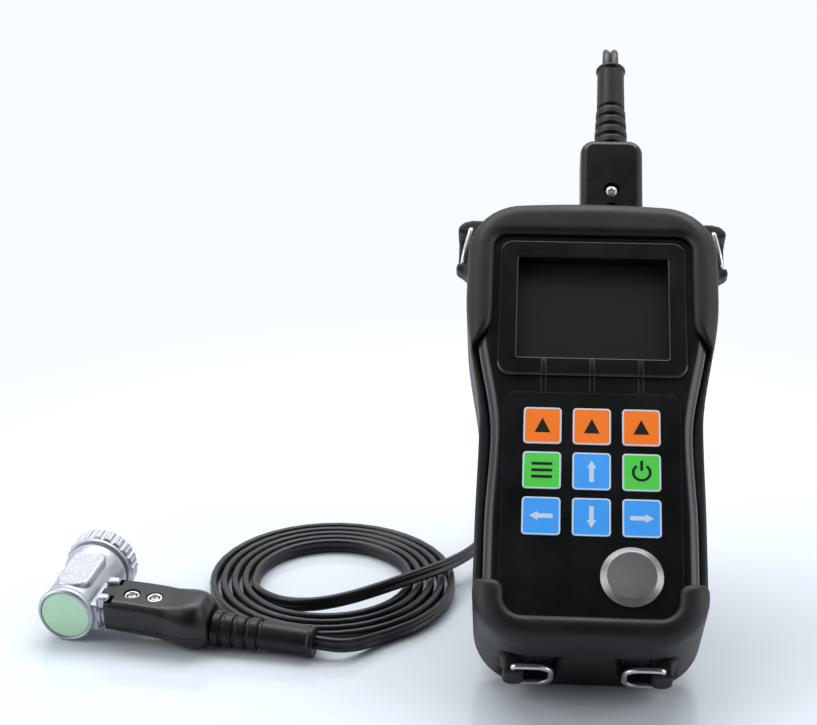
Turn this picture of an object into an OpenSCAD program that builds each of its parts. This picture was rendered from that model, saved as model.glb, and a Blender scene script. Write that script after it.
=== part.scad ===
// Handheld ultrasonic thickness gauge in a rubber holster, leaning on its wire stand,
// with a dual element probe on a flat twin cord. All lengths are millimetres.
// The floor is z = 0, x runs to the gauge's right and the display faces -y.
// The gauge is drawn in the frame of its case, lying on its back: y runs up from the
// foot of the case, z runs from the back of the case to its front. It is then leaned back.

/* [Stance] */
// Angle between the gauge and the floor, in degrees
lean = 41.5; // [39:0.5:45]

/* [Case] */
// Length of the case
case_len = 155.6; // [152:0.1:162]
// Thickness of the case from back to front
case_depth = 38.7; // [37:0.1:42]
// Width of the case at its foot
heel_w = 69.1; // [68:0.1:71]
// Width of the case at its waist
waist_w = 66.7; // [66:0.1:68]
// Width of the case at the display
head_w = 78.4; // [77:0.1:81]
// Height of the waist above the foot
waist_rise = 69.5; // [64:0.5:74]
// Length over which the waist widens towards the foot
heel_blend = 34; // [28:1:45]
// Length over which the waist widens towards the display
head_blend = 43; // [36:1:50]
// Corner radius at the foot
corner_low_r = 10.2; // [9:0.1:11]
// Corner radius at the top
corner_top_r = 12.7; // [12:0.1:14]
// Thickness of the side walls
case_wall = 2.2; // [1.8:0.1:2.4]
// Thickness of the front wall
front_wall = 2.6; // [2.4:0.1:3]
// Radius of the front edges
front_edge_r = 4; // [3:0.1:4.5]
// Radius of the back edges
back_edge_r = 3; // [2:0.1:3.5]
// Distance of the parting plane behind the front
split_behind = 24.7; // [23.7:0.1:25.7]
// Thickness of the gasket between the two halves
gasket_t = 0.6; // [0.4:0.1:0.8]

/* [Holster] */
// Thickness of the rubber at the sides and ends
boot_wall = 3.8; // [3.2:0.1:4.4]
// Thickness of the rubber at the back
boot_back = 3; // [2.5:0.1:3.5]
// Thickness of the rubber in front of the case
boot_lip = 2.6; // [2:0.1:3.2]
// Radius of the front edges of the rubber
boot_edge_r = 6; // [4:0.1:6.4]
// Radius of the back edges, on which the gauge stands
heel_r = 4; // [3.5:0.1:4.5]
// Rise of the middle of the top edge
boot_crown = 0.8; // [0:0.1:1.5]
// How far the side walls stop below the front of the case
side_drop = 7; // [5:0.1:9]
// Height of the cup's edge in the middle
cup_rise = 5.8; // [4.6:0.1:7]
// Height of the cup's horns at the sides
cup_horn = 17.5; // [16:0.1:20]
// Width of the opening round the display
frame_open_w = 67.2; // [66:0.1:69]
// Distance of that opening's top edge below the top of the case
frame_open_drop = 11; // [9.6:0.1:11.6]
// Distance of the frame's shoulders below the top of the case
shoulder_drop = 53.6; // [51.6:0.5:57.6]

/* [Display] */
// Width of the raised bezel
bezel_w = 63.8; // [62:0.1:65]
// Height of the raised bezel
bezel_h = 53; // [52:0.1:54]
// Distance of the bezel's top edge below the top of the case
bezel_drop = 12.2; // [11.6:0.1:13.6]
// How far the bezel stands proud
bezel_t = 1; // [0.6:0.1:1.4]
// Width of the window
window_w = 52.4; // [50:0.1:54]
// Height of the window
window_h = 40.4; // [39:0.1:42]
// Depth of the window below the bezel
window_depth = 5.2; // [4.4:0.1:5.6]
// Thickness of the window pane
pane_t = 1; // [0.8:0.1:1.4]

/* [Keypad] */
// Width of a key
key_w = 12.9; // [12:0.1:13.2]
// Height of a key
key_h = 13.4; // [12.6:0.1:13.6]
// Spacing of the key columns
key_pitch_x = 16.2; // [16:0.05:16.6]
// Spacing of the key rows
key_pitch_y = 16.1; // [16:0.05:16.6]
// Height of the middle row
key_rise = 55.8; // [54:0.1:57]
// How far a key stands proud of the panel
key_proud = 0.35; // [0.2:0.05:0.5]
// How far a key travels
key_travel = 0.35; // [0.2:0.05:0.4]
// Width of the keypad panel
panel_w = 58.4; // [57:0.1:60]
// Height of the panel's top edge
panel_top = 84.3; // [83:0.1:86]
// Thickness of the keypad panel
panel_t = 0.5; // [0.4:0.05:0.6]

/* [Zero disc] */
// Diameter of the steel disc
disc_d = 20.2; // [18:0.1:21]
// Diameter of its flat top
disc_flat_d = 15.9; // [14:0.1:17]
// How far it stands proud
disc_t = 1.9; // [1.5:0.1:2.5]
// Place of the disc across the panel
disc_x = 12.9; // [11:0.1:15]
// Height of the disc's centre
disc_rise = 19.6; // [19:0.1:20.4]

/* [Cord plug] */
// Width of the plug at the top of the gauge
plug_w = 22.4; // [21:0.1:24]
// Length of that plug
plug_len = 38.6; // [36:0.1:41]
// Thickness of that plug
plug_t = 15; // [14:0.1:16]
// Place of the plug across the case
plug_x = 7.1; // [5:0.1:9]
// Distance of the plug's middle behind the front of the case
plug_behind = 19.5; // [18.7:0.1:20.1]
// Wall of the plug shells
plug_wall = 1.8; // [1.5:0.1:2.1]

/* [Strain relief] */
// Length of a strain relief
relief_len = 35.8; // [32:0.1:40]
// Diameter at its base
relief_base_d = 12.1; // [11.4:0.1:12.6]
// Diameter of its sleeve
relief_sleeve_d = 9.7; // [9:0.1:10.4]
// Diameter of its end flange
relief_flange_d = 10.6; // [10:0.1:11]
// Number of ribs
relief_ribs = 4; // [3:1:5]

/* [Strap rings] */
// Diameter of the ring wire
ring_wire_d = 1.7; // [1.5:0.1:2]
// Width of a ring between its wire centres
ring_w = 14; // [13.4:0.1:15]
// Length of a ring between its wire centres
ring_len = 13.4; // [12:0.1:13.8]

/* [Stand] */
// Diameter of the stand wire
stand_wire_d = 3; // [2.6:0.1:3.4]
// Distance between the legs
stand_w = 40; // [36:0.5:44]
// Height of the stand's pivot above the foot of the case
stand_rise = 113.7; // [110:0.1:118]
// How far the foot stands behind the pivot
stand_run = 24; // [18:0.5:30]

/* [Probe] */
// Diameter of the probe's rim round its end disc
rim_d = 20.3; // [19.6:0.1:21]
// Diameter of the probe's body
barrel_d = 19.2; // [18.6:0.1:19.6]
// Distance from the rim to the knurled ring
ring_near = 30; // [28:0.1:32]
// Length of the knurled ring
knurl_len = 8.2; // [7:0.1:9]
// Diameter of the knurled ring
knurl_d = 25; // [24:0.1:26]
// Number of grooves in the knurled ring
knurl_grooves = 20; // [16:1:24]
// Diameter of the probe's contact face
tip_d = 16; // [14:0.1:16.4]
// Width of the plug housing on the probe
grip_w = 15; // [14:0.1:16]
// Height of that housing
grip_h = 12; // [11:0.1:12.6]
// Direction of the probe's axis, in degrees
probe_head = 9.5; // [5:0.5:14]

/* [Cord] */
// Width of the flat twin cord
cord_w = 5.2; // [4.8:0.1:5.4]
// Thickness of the flat twin cord
cord_t = 2.6; // [2.4:0.1:2.7]
// Radius at which the coil starts
coil_r = 26.9; // [26:0.1:28]
// Distance from turn to turn
coil_pitch = 3.8; // [3.6:0.1:4]
// Radius at which the cord bends over above the gauge
cord_bend_r = 10.5; // [9:0.5:11.5]

/* [Batteries] */
// Diameter of a cell
cell_d = 14.2; // [13.8:0.1:14.4]
// Length of a cell
cell_len = 50.2; // [49.5:0.1:50.5]

/* [Hidden] */
$fn = 48;

// Clearance round pieces that are pressed or laid together
fit = 0.1;
// Clearance round pins that turn
pin_fit = 0.06;
// Clearance between bodies that pass each other
gap = 0.3;
// Overrun of every cut
over = 1;
// A length beyond the whole part
reach = 400;

// Steps of the outline of the case and the holster
corner_steps = 6;
side_steps = 16;
edge_steps = 4;

// The holster stands on its rounded back edge, which is cut flat where it meets the floor
heel_cut_share = 0.11;
heel_lift = heel_r * (1 - heel_cut_share);
case_y = heel_lift * sin(lean) - heel_r + boot_wall + fit;
case_z = heel_lift * cos(lean) - heel_r + boot_back + fit;
boot_out = boot_wall + fit;
boot_under = boot_back + fit;
boot_front = case_depth + fit + boot_lip;
split_rise = case_depth - split_behind;
split_low = split_rise - gasket_t / 2;
split_high = split_rise + gasket_t / 2;
front_in = case_depth - front_wall;
plug_z = case_depth - plug_behind;

// Cup edge of the holster and shoulders of its frame
cup_flat = 19;
cup_hollow_r = 7.6;
horn_r = 3.9;
frame_open_r = 4.4;
shoulder_out = 7.1;
shoulder_mid = 3;
shoulder_step = 3;
shoulder_high = 7;
frame_open_top = case_len - frame_open_drop;
shoulder_rise = case_len - shoulder_drop;
plug_gap = 0.4;

// Pockets in the bottom end, with the lugs of the lower rings
pocket_deep = 2.5;
pocket_low = 3;
pocket_top = 21.4;
pocket_in_low = 9.8;
pocket_in_top = 7.6;
pocket_out_low = 28;
pocket_out_top = 29.4;
lug_x = 24;
lug_w = 7;
lug_low = 6.2;
lug_top = 14.6;
lug_proud = 3.3;
lug_ring_out = 1.1;
lug_ring_low = 4.6;

// Ears of the upper rings, their storage hooks and the webs that join them
ear_out = 3.6;
ear_drop = 3.4;
ear_behind = 13.9;
ear_t = 8;
ear_lean = 12;
ear_r = 4.6;
ear_in = 6.2;
hook_out = 8.2;
hook_top_drop = 18;
hook_low_drop = 22.4;
hook_t = 11;
web_t = 4;
web_out = 7.4;
ear_pivot_x = head_w / 2 + ear_out;
ear_pivot_y = case_len - ear_drop;
ear_z = case_depth - ear_behind;
ear_root_x = head_w / 2 - ear_in;
hook_x = head_w / 2 + hook_out;
hook_top = case_len - hook_top_drop;
hook_low = case_len - hook_low_drop;
web_x = head_w / 2 + web_out;
ring_near_r = 1.3;
ring_far_r = 5;

// Window, pane and display module
bezel_r = 4.6;
bezel_rise = case_len - bezel_drop - bezel_h;
window_rise = bezel_rise + (bezel_h - window_h) / 2;
collar_w = 3;
pane_lap = 2.5;
pane_top = case_depth + bezel_t - window_depth;
groove_w = 0.35;
groove_deep = 0.25;
groove_half = 0.95;
lcd_w = 57;
lcd_h = 47;
lcd_behind = 6.7;

// Keypad
panel_low = 4;
panel_r = 3.6;
key_gap = 0.15;
key_body_t = 0.85;
key_r = 1.3;
flange_out = 0.6;
flange_t = 0.45;
plunger_d = 4;
plunger_len = 1.7;
dome_gap = 0.15;
dome_d = 8;
dome_t = 0.6;
keypad_board_t = 0.8;
keypad_margin = 2.4;
keypad_post_d = 2.4;
key_bottom = case_depth + key_proud - key_body_t - flange_t;
key_floor = key_bottom - key_travel - fit;
dome_top = key_bottom - plunger_len - key_travel - dome_gap;
keypad_top = dome_top - dome_t;

// Steel disc on the front
disc_edge = 0.3;
disc_stud_d = 8;
disc_nut_d = 13;
disc_nut_t = 2.6;
disc_stud_len = 6;

// Main board
board_t = 1.6;
board_w = 58;
board_low = 22;
board_drop = 5.6;
board_high = case_len - board_drop;
board_z = pane_top - pane_t - lcd_behind;
board_boss_d = 6;
board_screw_d = 2.5;
board_head_d = 4.6;
board_head_t = 1.6;
board_screw_len = 6;
board_boss_x = 25.6;
board_boss_in = 4;
board_boss_under = 2.9;
board_boss_drop = 3.2;
board_bosses = [board_low + board_boss_in, bezel_rise - board_boss_under, board_high - board_boss_drop];

// Screws that join the two halves
case_boss_d = 6.4;
case_screw_d = 3;
case_head_d = 5.4;
case_head_t = 2;
case_head_deep = 3.4;
case_screw_len = 22;
case_boss_in = 5.8;
case_boss_drop = 24.8;
case_boss_low = [27.4, 10.6];
case_boss_high = [head_w / 2 - case_boss_in, case_len - case_boss_drop];

// Battery box
box_wall = 1.4;
box_low = 26.4;
cell_gap = 0.3;
cell_bed = 0.2;
nub_d = 5.4;
nub_t = 1;
spring_t = 2.4;
spring_d = 9;
spring_end_d = 5;
contact_t = 0.4;
contact_w = 11;
door_t = 1.6;
door_lap = 2;
door_tail = 8;
door_gap = 0.2;
door_r = 2;
door_screw_d = 2.4;
door_head_d = 4.4;
door_head_t = 1;
door_screw_len = 6;
door_screw_x = 18;
door_boss_d = 6;
cells = 3;
box_w = cell_len + nub_t + spring_t + 2 * contact_t;
box_len = cells * cell_d + (cells + 1) * cell_gap;
box_top = door_t + cell_bed + cell_d + cell_gap;
door_low = box_low - door_lap;
door_high = box_low + box_len + door_tail;
door_w = box_w + 2 * door_lap;
door_screw_y = door_high - door_tail / 2;

// Sockets and the pins that plug into them
socket_gap = 9.4;
socket_d = 7;
socket_bore_d = 3.6;
socket_deep = 9;
socket_flange_d = 8.6;
socket_flange_t = 1.4;
socket_nut_d = 8.8;
socket_nut_t = 2;
socket_in = 7;
pin_d = 3.4;
pin_in = 6;
pin_barrel_d = 4.6;
pin_barrel_len = 12;

// Plug shells
plug_r = 3.6;
plug_edge = 2;
plug_post_d = 4.4;
plug_screw_d = 2.2;
plug_head_d = 3.9;
plug_head_t = 1.2;
plug_recess_d = 4.9;
plug_recess_deep = 1.7;
plug_screw_len = 9;
plug_screws_y = [9.1, 17.9];
plug_neck_d = 7.4;
plug_neck_len = 1.9;
plug_neck_flange_d = 10.4;
plug_neck_flange_t = 1.3;
cross_w = 0.6;
cross_l = 2.4;
cross_deep = 0.5;

// Strain relief: the ribs take up the first share of its length
rib_zone_share = 0.49;
rib_share = 0.68;
rib_depth = 1.1;
relief_taper = 0.5;
relief_flange_t = 1.9;

// Stand bracket and stop
bracket_w = 46;
bracket_len = 22;
bracket_t = 2;
bracket_r = 3;
bracket_up = 8;
knuckle_w = 7;
knuckle_r = 3.2;
knuckle_gap = 0.3;
pin_len = 8;
stand_corner_r = 7;
stop_len = 5;
stop_base = 9;
bracket_screw_d = 3;
bracket_head_d = 5.2;
bracket_head_t = 1.3;
bracket_screw_len = 2;
bracket_screw_x = 6;
bracket_screws_y = [4.6, 16];
stand_pivot_z = -boot_under - bracket_t - knuckle_r + 1;

// Probe
rim_len = 2.4;
rim_round = 0.8;
end_disc_d = 17.4;
end_disc_t = 0.8;
end_disc_sunk = 0.3;
collar_d = 22.6;
collar_len = 3;
flare_len = 5;
land_w = 9.6;
land_h = 10.2;
land_near = 5;
land_far = 25;
neck_d = 19.2;
neck_len = 6.4;
bore_low = 19;
knurl_lip_t = 1.2;
knurl_lip_d = 16.8;
knurl_cut_d = 2.2;
knurl_cut_out = 0.35;
knurl_edge = 0.8;
tip_out = 1.2;
tip_len = 8.8;
crystal_t = 0.8;
damper_len = 8;
barrier_t = 0.6;
port_d = 9.7;
port_w = 14.6;
port_low = 6;
port_high = 5.4;
port_out = 11.2;
port_lug_out = 14;
port_lug_w = 3;
port_lug_low = 3.6;
port_lug_high = 7.4;
port_lug_spread = 5.2;
port_lug_over = 0.6;
port_socket_d = 4.4;
port_socket_deep = 4;
port_socket_gap = 7;
tab_w = 4.6;
tab_t = 2.2;
tab_back = 1.6;

// Plug housing on the probe: distance along it, half width, underside and top,
// each as a share of the housing's reach, width and height
grip_reach = 38.6;
grip_shares = [[0, 0.485, -0.52, 0.475], [0.05, 0.5, -0.535, 0.485], [0.48, 0.507, -0.565, 0.475],
    [0.62, 0.547, -0.65, 0.467], [0.72, 0.62, -0.8, 0.475], [0.82, 0.653, -0.885, 0.458],
    [0.915, 0.613, -0.87, 0.383], [0.98, 0.507, -0.75, 0.217], [1, 0.44, -0.685, 0.135]];
grip_r_share = 0.42;
grip_ring_steps = 6;
grip_parting = -3.6;
grip_hollow_w = 9.6;
grip_hollow_low = 4.4;
grip_hollow_high = 3.4;
grip_hollow_near = 3;
grip_hollow_far = 31;
grip_post_d = 5;
grip_screws_x = [8.6, 17.4];
grip_screw_d = 2.2;
grip_head_d = 4.4;
grip_head_t = 1.3;
grip_recess_d = 5.2;
grip_recess_deep = 1.6;
grip_screw_len = 9.5;
grip_pin_d = 4.2;
grip_pin_len = 7.9;
grip_relief_z = -4.5;
grip_relief_drop = 1.6;
grip_relief_x = port_out + grip_reach + relief_base_d / 2 * sin(grip_relief_drop);

// Where the probe lies on the floor
probe_x = -177.2;
probe_y = 15.2;
probe_tilt = atan((knurl_d - rim_d) / 2 / ring_near);
probe_z = rim_d / 2 * cos(probe_tilt);

// Coil of cord on the floor
coil_x = -91;
coil_y = 60;
coil_shift = 1.6;
coil_turns = 4.66;
coil_rings = 24;
coil_sides = 6;
coil_end_rings = 6;
coil_end_pull = 8;

// Route of the cord from the gauge's strain relief to the coil, and the way that the
// flat of the cord faces at each point
route_mid = [[7, 183, 152], [7, 184, 136], [6.6, 184.6, 116], [6, 185, 96], [5.2, 185, 76],
    [4.2, 184.6, 56], [2.6, 183.6, 38], [0, 181.2, 22], [-4.6, 176.4, 9.6], [-11, 169.6, 4],
    [-19, 160.6, 2.8], [-26.6, 149, 2.8], [-31.6, 136, 2.8], [-34.2, 122, 2.8], [-35.4, 108, 3.2],
    [-36.6, 95, 4.6], [-38.2, 83.6, 7], [-42.4, 73.2, 8.3], [-49.2, 64.6, 8.4], [-57.4, 57.2, 8.4],
    [-66, 50, 8.4], [-75, 43.4, 8], [-84.6, 38.4, 7.2], [-94.6, 36.2, 6.2], [-104.2, 38.4, 5],
    [-111.6, 44.6, 3.7], [-116.4, 51, 2.9]];
route_flat = [[1, 0, 0], [1, 0, 0], [1, -0.1, 0], [1, -0.2, 0], [1, -0.3, 0], [1, -0.4, 0],
    [1, -0.5, 0], [1, -0.6, 0], [1, -0.7, 0], [1, -0.8, 0.1], [1, -0.7, 0.4],
    [1, -0.4, 0.9], [0.6, -0.2, 1], [0.3, 0, 1], [0, 0, 1], [0, 0, 1],
    [0, 0, 1], [0, 0, 1], [0, 0, 1], [0, 0, 1],
    [0, 0, 1], [0, 0, 1], [0, 0, 1], [0, 0, 1], [0, 0, 1],
    [0, 0, 1], [0, 0, 1]];
cord_bend_turn = 118;
cord_bend_steps = 5;
route_steps = 2;

function smooth(t) = t <= 0 ? 0 : t >= 1 ? 1 : t * t * (3 - 2 * t);

// Half width of the case at a height above its foot
function half_w(y) = y < waist_rise
    ? waist_w / 2 + (heel_w - waist_w) / 2 * smooth((waist_rise - y) / heel_blend)
    : waist_w / 2 + (head_w - waist_w) / 2 * smooth((y - waist_rise) / head_blend);

// Right side of the case's outline, drawn in by an inset
function right_side(inset) = let (
        low = [half_w(corner_low_r) - corner_low_r, corner_low_r],
        high = [half_w(case_len - corner_top_r) - corner_top_r, case_len - corner_top_r])
    concat(
        [for (i = [0:corner_steps]) let (a = 90 * i / corner_steps - 90)
            low + (corner_low_r - inset) * [cos(a), sin(a)]],
        [for (i = [1:side_steps - 1]) let (y = low[1] + (high[1] - low[1]) * i / side_steps)
            [half_w(y) - inset, y]],
        [for (i = [0:corner_steps]) let (a = 90 * i / corner_steps)
            high + (corner_top_r - inset) * [cos(a), sin(a)]]);

function mirrored(side) = [for (i = [len(side) - 1:-1:0]) [-side[i][0], side[i][1]]];

function outline(inset, crown = 0) = let (r = right_side(inset), last = r[len(r) - 1])
    concat(r, [for (s = [0.5, 0, -0.5]) [last[0] * s, last[1] + crown * (1 - s * s)]], mirrored(r));

// Height and inset of a point on a rounded edge that begins at z and rises to one side
function edge_point(z, r, inset, side, i) = let (a = 90 * i / edge_steps)
    [z + side * r * (1 - cos(a)), inset + r * (1 - sin(a))];

// Layers of a rounded back edge and a rounded front edge, their last facets carried past the end
function back_layers(z, r, inset) = concat(
    [2 * edge_point(z, r, inset, 1, 0) - edge_point(z, r, inset, 1, 1)],
    [for (i = [1:edge_steps]) edge_point(z, r, inset, 1, i)]);

function front_layers(z, r, inset) = concat(
    [for (i = [edge_steps:-1:1]) edge_point(z, r, inset, -1, i)],
    [2 * edge_point(z, r, inset, -1, 0) - edge_point(z, r, inset, -1, 1)]);

// Points of a rectangle with round corners
function round_rect(x0, y0, x1, y1, r) = [for (q = [0:3]) for (i = [0:corner_steps])
    let (x = q < 2 ? x1 - r : x0 + r, y = q % 3 == 0 ? y0 + r : y1 - r,
        a = 90 * (q - 1 + i / corner_steps)) [x + r * cos(a), y + r * sin(a)]];

// Faces of a stack of rings that have as many points each
function stack_faces(n, m) = concat([[for (i = [0:n - 1]) i]],
    [[for (i = [n - 1:-1:0]) (m - 1) * n + i]],
    [for (k = [0:m - 2]) for (i = [0:n - 1]) let (a = k * n + i, b = k * n + (i + 1) % n)
        each [[a, a + n, b + n], [a, b + n, b]]]);

// Solid through the layers of the case's outline, cut off at two heights
module outline_solid(low, high, layers, crown = 0) {
    rings = [for (l = layers) [for (p = outline(l[1], crown)) [p[0], p[1], l[0]]]];
    intersection() {
        polyhedron(points = [for (r = rings) each r], faces = stack_faces(len(rings[0]), len(rings)));
        block([-reach, reach], [-reach, reach], [low, high]);
    }
}

module slab(points, z, t) {
    translate([0, 0, z]) linear_extrude(t) polygon(points);
}

module block(x, y, z) {
    translate([x[0], y[0], z[0]]) cube([x[1] - x[0], y[1] - y[0], z[1] - z[0]]);
}

module rod(p, d, len) {
    translate(p) cylinder(d = d, h = len);
}

// The gauge's own pieces, leaned back on the heel of the holster
module gauge() {
    rotate([lean, 0, 0]) translate([0, case_y, case_z]) children();
}

module both_sides() {
    children();
    mirror([1, 0, 0]) children();
}

// Holster

function arc(c, r, a0, a1) = [for (i = [0:corner_steps]) let (a = a0 + (a1 - a0) * i / corner_steps)
    c + r * [cos(a), sin(a)]];

function opening_side() = let (half = frame_open_w / 2, fillet = cup_hollow_r)
    concat(arc([cup_flat, cup_rise + fillet], fillet, -90, 0),
        arc([cup_flat + fillet + horn_r, cup_horn - horn_r], horn_r, 180, 90),
        [[head_w, cup_horn], [head_w, shoulder_rise], [half + shoulder_out, shoulder_rise],
            [half + shoulder_mid, shoulder_rise + shoulder_step],
            [half, shoulder_rise + shoulder_high]],
        arc([half - frame_open_r, frame_open_top - frame_open_r], frame_open_r, 0, 90));

module front_opening() {
    side = opening_side();
    slab(concat(side, mirrored(side)), case_depth - side_drop, side_drop + boot_lip + over);
}

module end_pocket() {
    translate([0, pocket_deep - boot_out, 0]) rotate([90, 0, 0])
        linear_extrude(pocket_deep + over)
            polygon([[pocket_in_low, pocket_low], [pocket_out_low, pocket_low],
                [pocket_out_top, pocket_top], [pocket_in_top, pocket_top]]);
}

module end_lug() {
    translate([lug_x, 0, lug_low + lug_w / 2]) rotate([90, 0, 0])
        translate([0, 0, boot_out - pocket_deep]) linear_extrude(pocket_deep + lug_proud) union() {
            circle(d = lug_w);
            translate([-lug_w / 2, 0]) square([lug_w, lug_top - lug_low - lug_w / 2]);
        }
}

module ear() {
    translate([0, 0, ear_z - ear_t / 2]) linear_extrude(ear_t) union() {
        translate([ear_pivot_x, ear_pivot_y]) circle(r = ear_r);
        polygon([[ear_root_x, ear_pivot_y + ear_r], [ear_pivot_x, ear_pivot_y + ear_r],
            [ear_pivot_x + ear_r, ear_pivot_y], [ear_root_x, ear_pivot_y - ear_r]]);
    }
    translate([0, 0, ear_z - hook_t / 2]) linear_extrude(hook_t)
        polygon([[ear_root_x, hook_low - ear_r], [hook_x - ear_r / 2, hook_low],
            [hook_x, hook_low + ear_r / 2], [hook_x, hook_top], [ear_root_x, hook_top]]);
    translate([0, 0, ear_z - ring_w / 2 - ring_wire_d / 2 - gap - web_t]) linear_extrude(web_t)
        polygon([[ear_root_x, hook_low], [hook_x - ear_r / 2, hook_low], [hook_x, hook_low + ear_r / 2],
            [web_x, hook_top], [web_x, ear_pivot_y], [ear_pivot_x, ear_pivot_y + ear_r],
            [ear_root_x, ear_pivot_y + ear_r]]);
    translate([0, 0, ear_z - hook_t / 2]) linear_extrude(hook_t / 2)
        polygon([[ear_root_x, hook_low], [hook_x - ear_r / 2, hook_low],
            [hook_x - ear_r / 2, hook_top], [ear_root_x, hook_top]]);
}

module holster() {
    color("#202124") difference() {
        gauge() difference() {
            union() {
                difference() {
                    outline_solid(-boot_under, boot_front, concat(
                        back_layers(-boot_under, heel_r, -boot_out),
                        front_layers(boot_front, boot_edge_r, -boot_out)), boot_crown);
                    both_sides() end_pocket();
                }
                both_sides() end_lug();
                both_sides() ear();
            }
            outline_solid(-fit, case_depth + fit, concat(back_layers(-fit, back_edge_r, -fit),
                front_layers(case_depth + fit, front_edge_r, -fit)));
            front_opening();
            block([plug_x - plug_w / 2 - plug_gap, plug_x + plug_w / 2 + plug_gap],
                [case_len - corner_top_r / 2, case_len + boot_out + boot_crown + over],
                [plug_z - plug_t / 2 - plug_gap, plug_z + plug_t / 2 + plug_gap]);
            both_sides() rod([ear_pivot_x, ear_pivot_y, ear_z - ring_w / 2],
                ring_wire_d + 2 * pin_fit, ring_w);
            both_sides() rod([lug_x, -boot_out - lug_ring_out, lug_ring_low],
                ring_wire_d + 2 * pin_fit, ring_w);
            stand_screw_places() rod([0, 0, -bracket_screw_len - bracket_t],
                bracket_screw_d + 2 * pin_fit, bracket_screw_len + bracket_t);
        }
        translate([-reach, -reach, -reach]) cube([2 * reach, 2 * reach, reach]);
    }
}

// Case

module key_places() {
    for (i = [-1:1]) for (j = [-1:1])
        translate([i * key_pitch_x, key_rise + j * key_pitch_y, 0]) children();
}

module board_boss_places() {
    for (x = [-board_boss_x, board_boss_x]) for (y = board_bosses) translate([x, y, 0]) children();
}

module case_boss_places() {
    for (p = [case_boss_low, case_boss_high]) both_sides() translate([p[0], p[1], 0]) children();
}

module socket_places() {
    for (x = [-socket_gap / 2, socket_gap / 2])
        translate([plug_x + x, case_len, plug_z]) rotate([-90, 0, 0]) children();
}

module groove_lines() {
    for (i = [-1:1]) for (s = [-groove_half, groove_half]) translate([i * key_pitch_x + s, 0, 0]) {
        block([-groove_w / 2, groove_w / 2], [bezel_rise - over, window_rise + over],
            [case_depth + bezel_t - groove_deep, case_depth + bezel_t + over]);
        block([-groove_w / 2, groove_w / 2], [panel_top - over, bezel_rise],
            [case_depth - groove_deep, case_depth + over]);
    }
}

module front_case() {
    color("#17181a") gauge() difference() {
        union() {
            difference() {
                outline_solid(split_high, case_depth,
                    concat([[split_high - over, 0]], front_layers(case_depth, front_edge_r, 0)));
                slab(outline(case_wall), split_high - over, front_in - split_high + over);
            }
            slab(round_rect(-bezel_w / 2, bezel_rise, bezel_w / 2, bezel_rise + bezel_h, bezel_r),
                front_in, front_wall + bezel_t);
            block([-window_w / 2 - collar_w, window_w / 2 + collar_w],
                [window_rise - collar_w, window_rise + window_h + collar_w], [pane_top, front_in + fit]);
            board_boss_places() rod([0, 0, board_z + board_t], board_boss_d,
                front_in + fit - board_z - board_t);
            case_boss_places() rod([0, 0, split_high], case_boss_d, front_in + fit - split_high);
        }
        block([-window_w / 2, window_w / 2], [window_rise, window_rise + window_h],
            [pane_top - over, case_depth + bezel_t + over]);
        slab(round_rect(-panel_w / 2 - fit, panel_low - fit, panel_w / 2 + fit, panel_top + fit, panel_r),
            case_depth - panel_t, panel_t + over);
        key_places() {
            block([-key_w / 2 - flange_out - key_gap, key_w / 2 + flange_out + key_gap],
                [-key_h / 2 - flange_out - key_gap, key_h / 2 + flange_out + key_gap],
                [key_floor, case_depth + over]);
            rod([0, 0, front_in - over], plunger_d + 2 * key_gap, front_wall);
        }
        rod([disc_x, disc_rise, front_in - over], disc_stud_d + 2 * pin_fit, front_wall + 2 * over);
        socket_places() rod([0, 0, -case_wall - over], socket_d + 2 * pin_fit, case_wall + 2 * over);
        groove_lines();
        board_boss_places() rod([0, 0, board_z + board_t - over], board_screw_d + 2 * pin_fit,
            board_screw_len - board_t + over);
        case_boss_places() rod([0, 0, split_high - over], case_screw_d + 2 * pin_fit,
            case_head_deep + case_screw_len - split_high + over);
    }
}

module rear_case() {
    box_x = box_w / 2 + box_wall;
    box_y = [box_low - box_wall, box_low + box_len + box_wall];
    color("#17181a") gauge() difference() {
        union() {
            difference() {
                outline_solid(0, split_low,
                    concat(back_layers(0, back_edge_r, 0), [[split_low + over, 0]]));
                slab(outline(case_wall), case_wall, split_low - case_wall + over);
            }
            block([-box_x, box_x], box_y, [case_wall - fit, box_top + box_wall]);
            case_boss_places() rod([0, 0, case_wall - fit], case_boss_d + case_wall,
                split_low - case_wall + fit);
            both_sides() rod([door_screw_x, door_screw_y, case_wall - fit], door_boss_d,
                door_screw_len);
        }
        block([-box_w / 2, box_w / 2], [box_low, box_low + box_len], [-over, box_top]);
        slab(round_rect(-door_w / 2 - door_gap, door_low - door_gap, door_w / 2 + door_gap,
            door_high + door_gap, door_r), -over, door_t + over);
        both_sides() rod([door_screw_x, door_screw_y, -over], door_screw_d + 2 * pin_fit,
            door_screw_len + over + door_head_t);
        case_boss_places() {
            rod([0, 0, -over], case_screw_d + 2 * pin_fit, split_rise + 2 * over);
            rod([0, 0, -over], case_head_d + 2 * fit, case_head_deep + over);
        }
    }
}

module case_gasket() {
    color("#3a3b3d") gauge() difference() {
        slab(outline(fit), split_low, gasket_t);
        slab(outline(case_wall), split_low - over, gasket_t + 2 * over);
        case_boss_places() rod([0, 0, split_low - over], case_boss_d + fit, gasket_t + 2 * over);
    }
}

// A screw that points along +z from the plane z = 0, its head below that plane
module screw(d, len, head_d, head_t) {
    difference() {
        union() {
            rod([0, 0, -head_t], head_d, head_t);
            cylinder(d = d, h = len);
        }
        for (a = [0, 90]) rotate([0, 0, a])
            block([-cross_l / 2, cross_l / 2], [-cross_w / 2, cross_w / 2],
                [-head_t - over, cross_deep - head_t]);
    }
}

module case_screws() {
    color("#9a9da1") gauge() case_boss_places() translate([0, 0, case_head_deep])
        screw(case_screw_d, case_screw_len, case_head_d, case_head_t);
}

// Batteries

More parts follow.
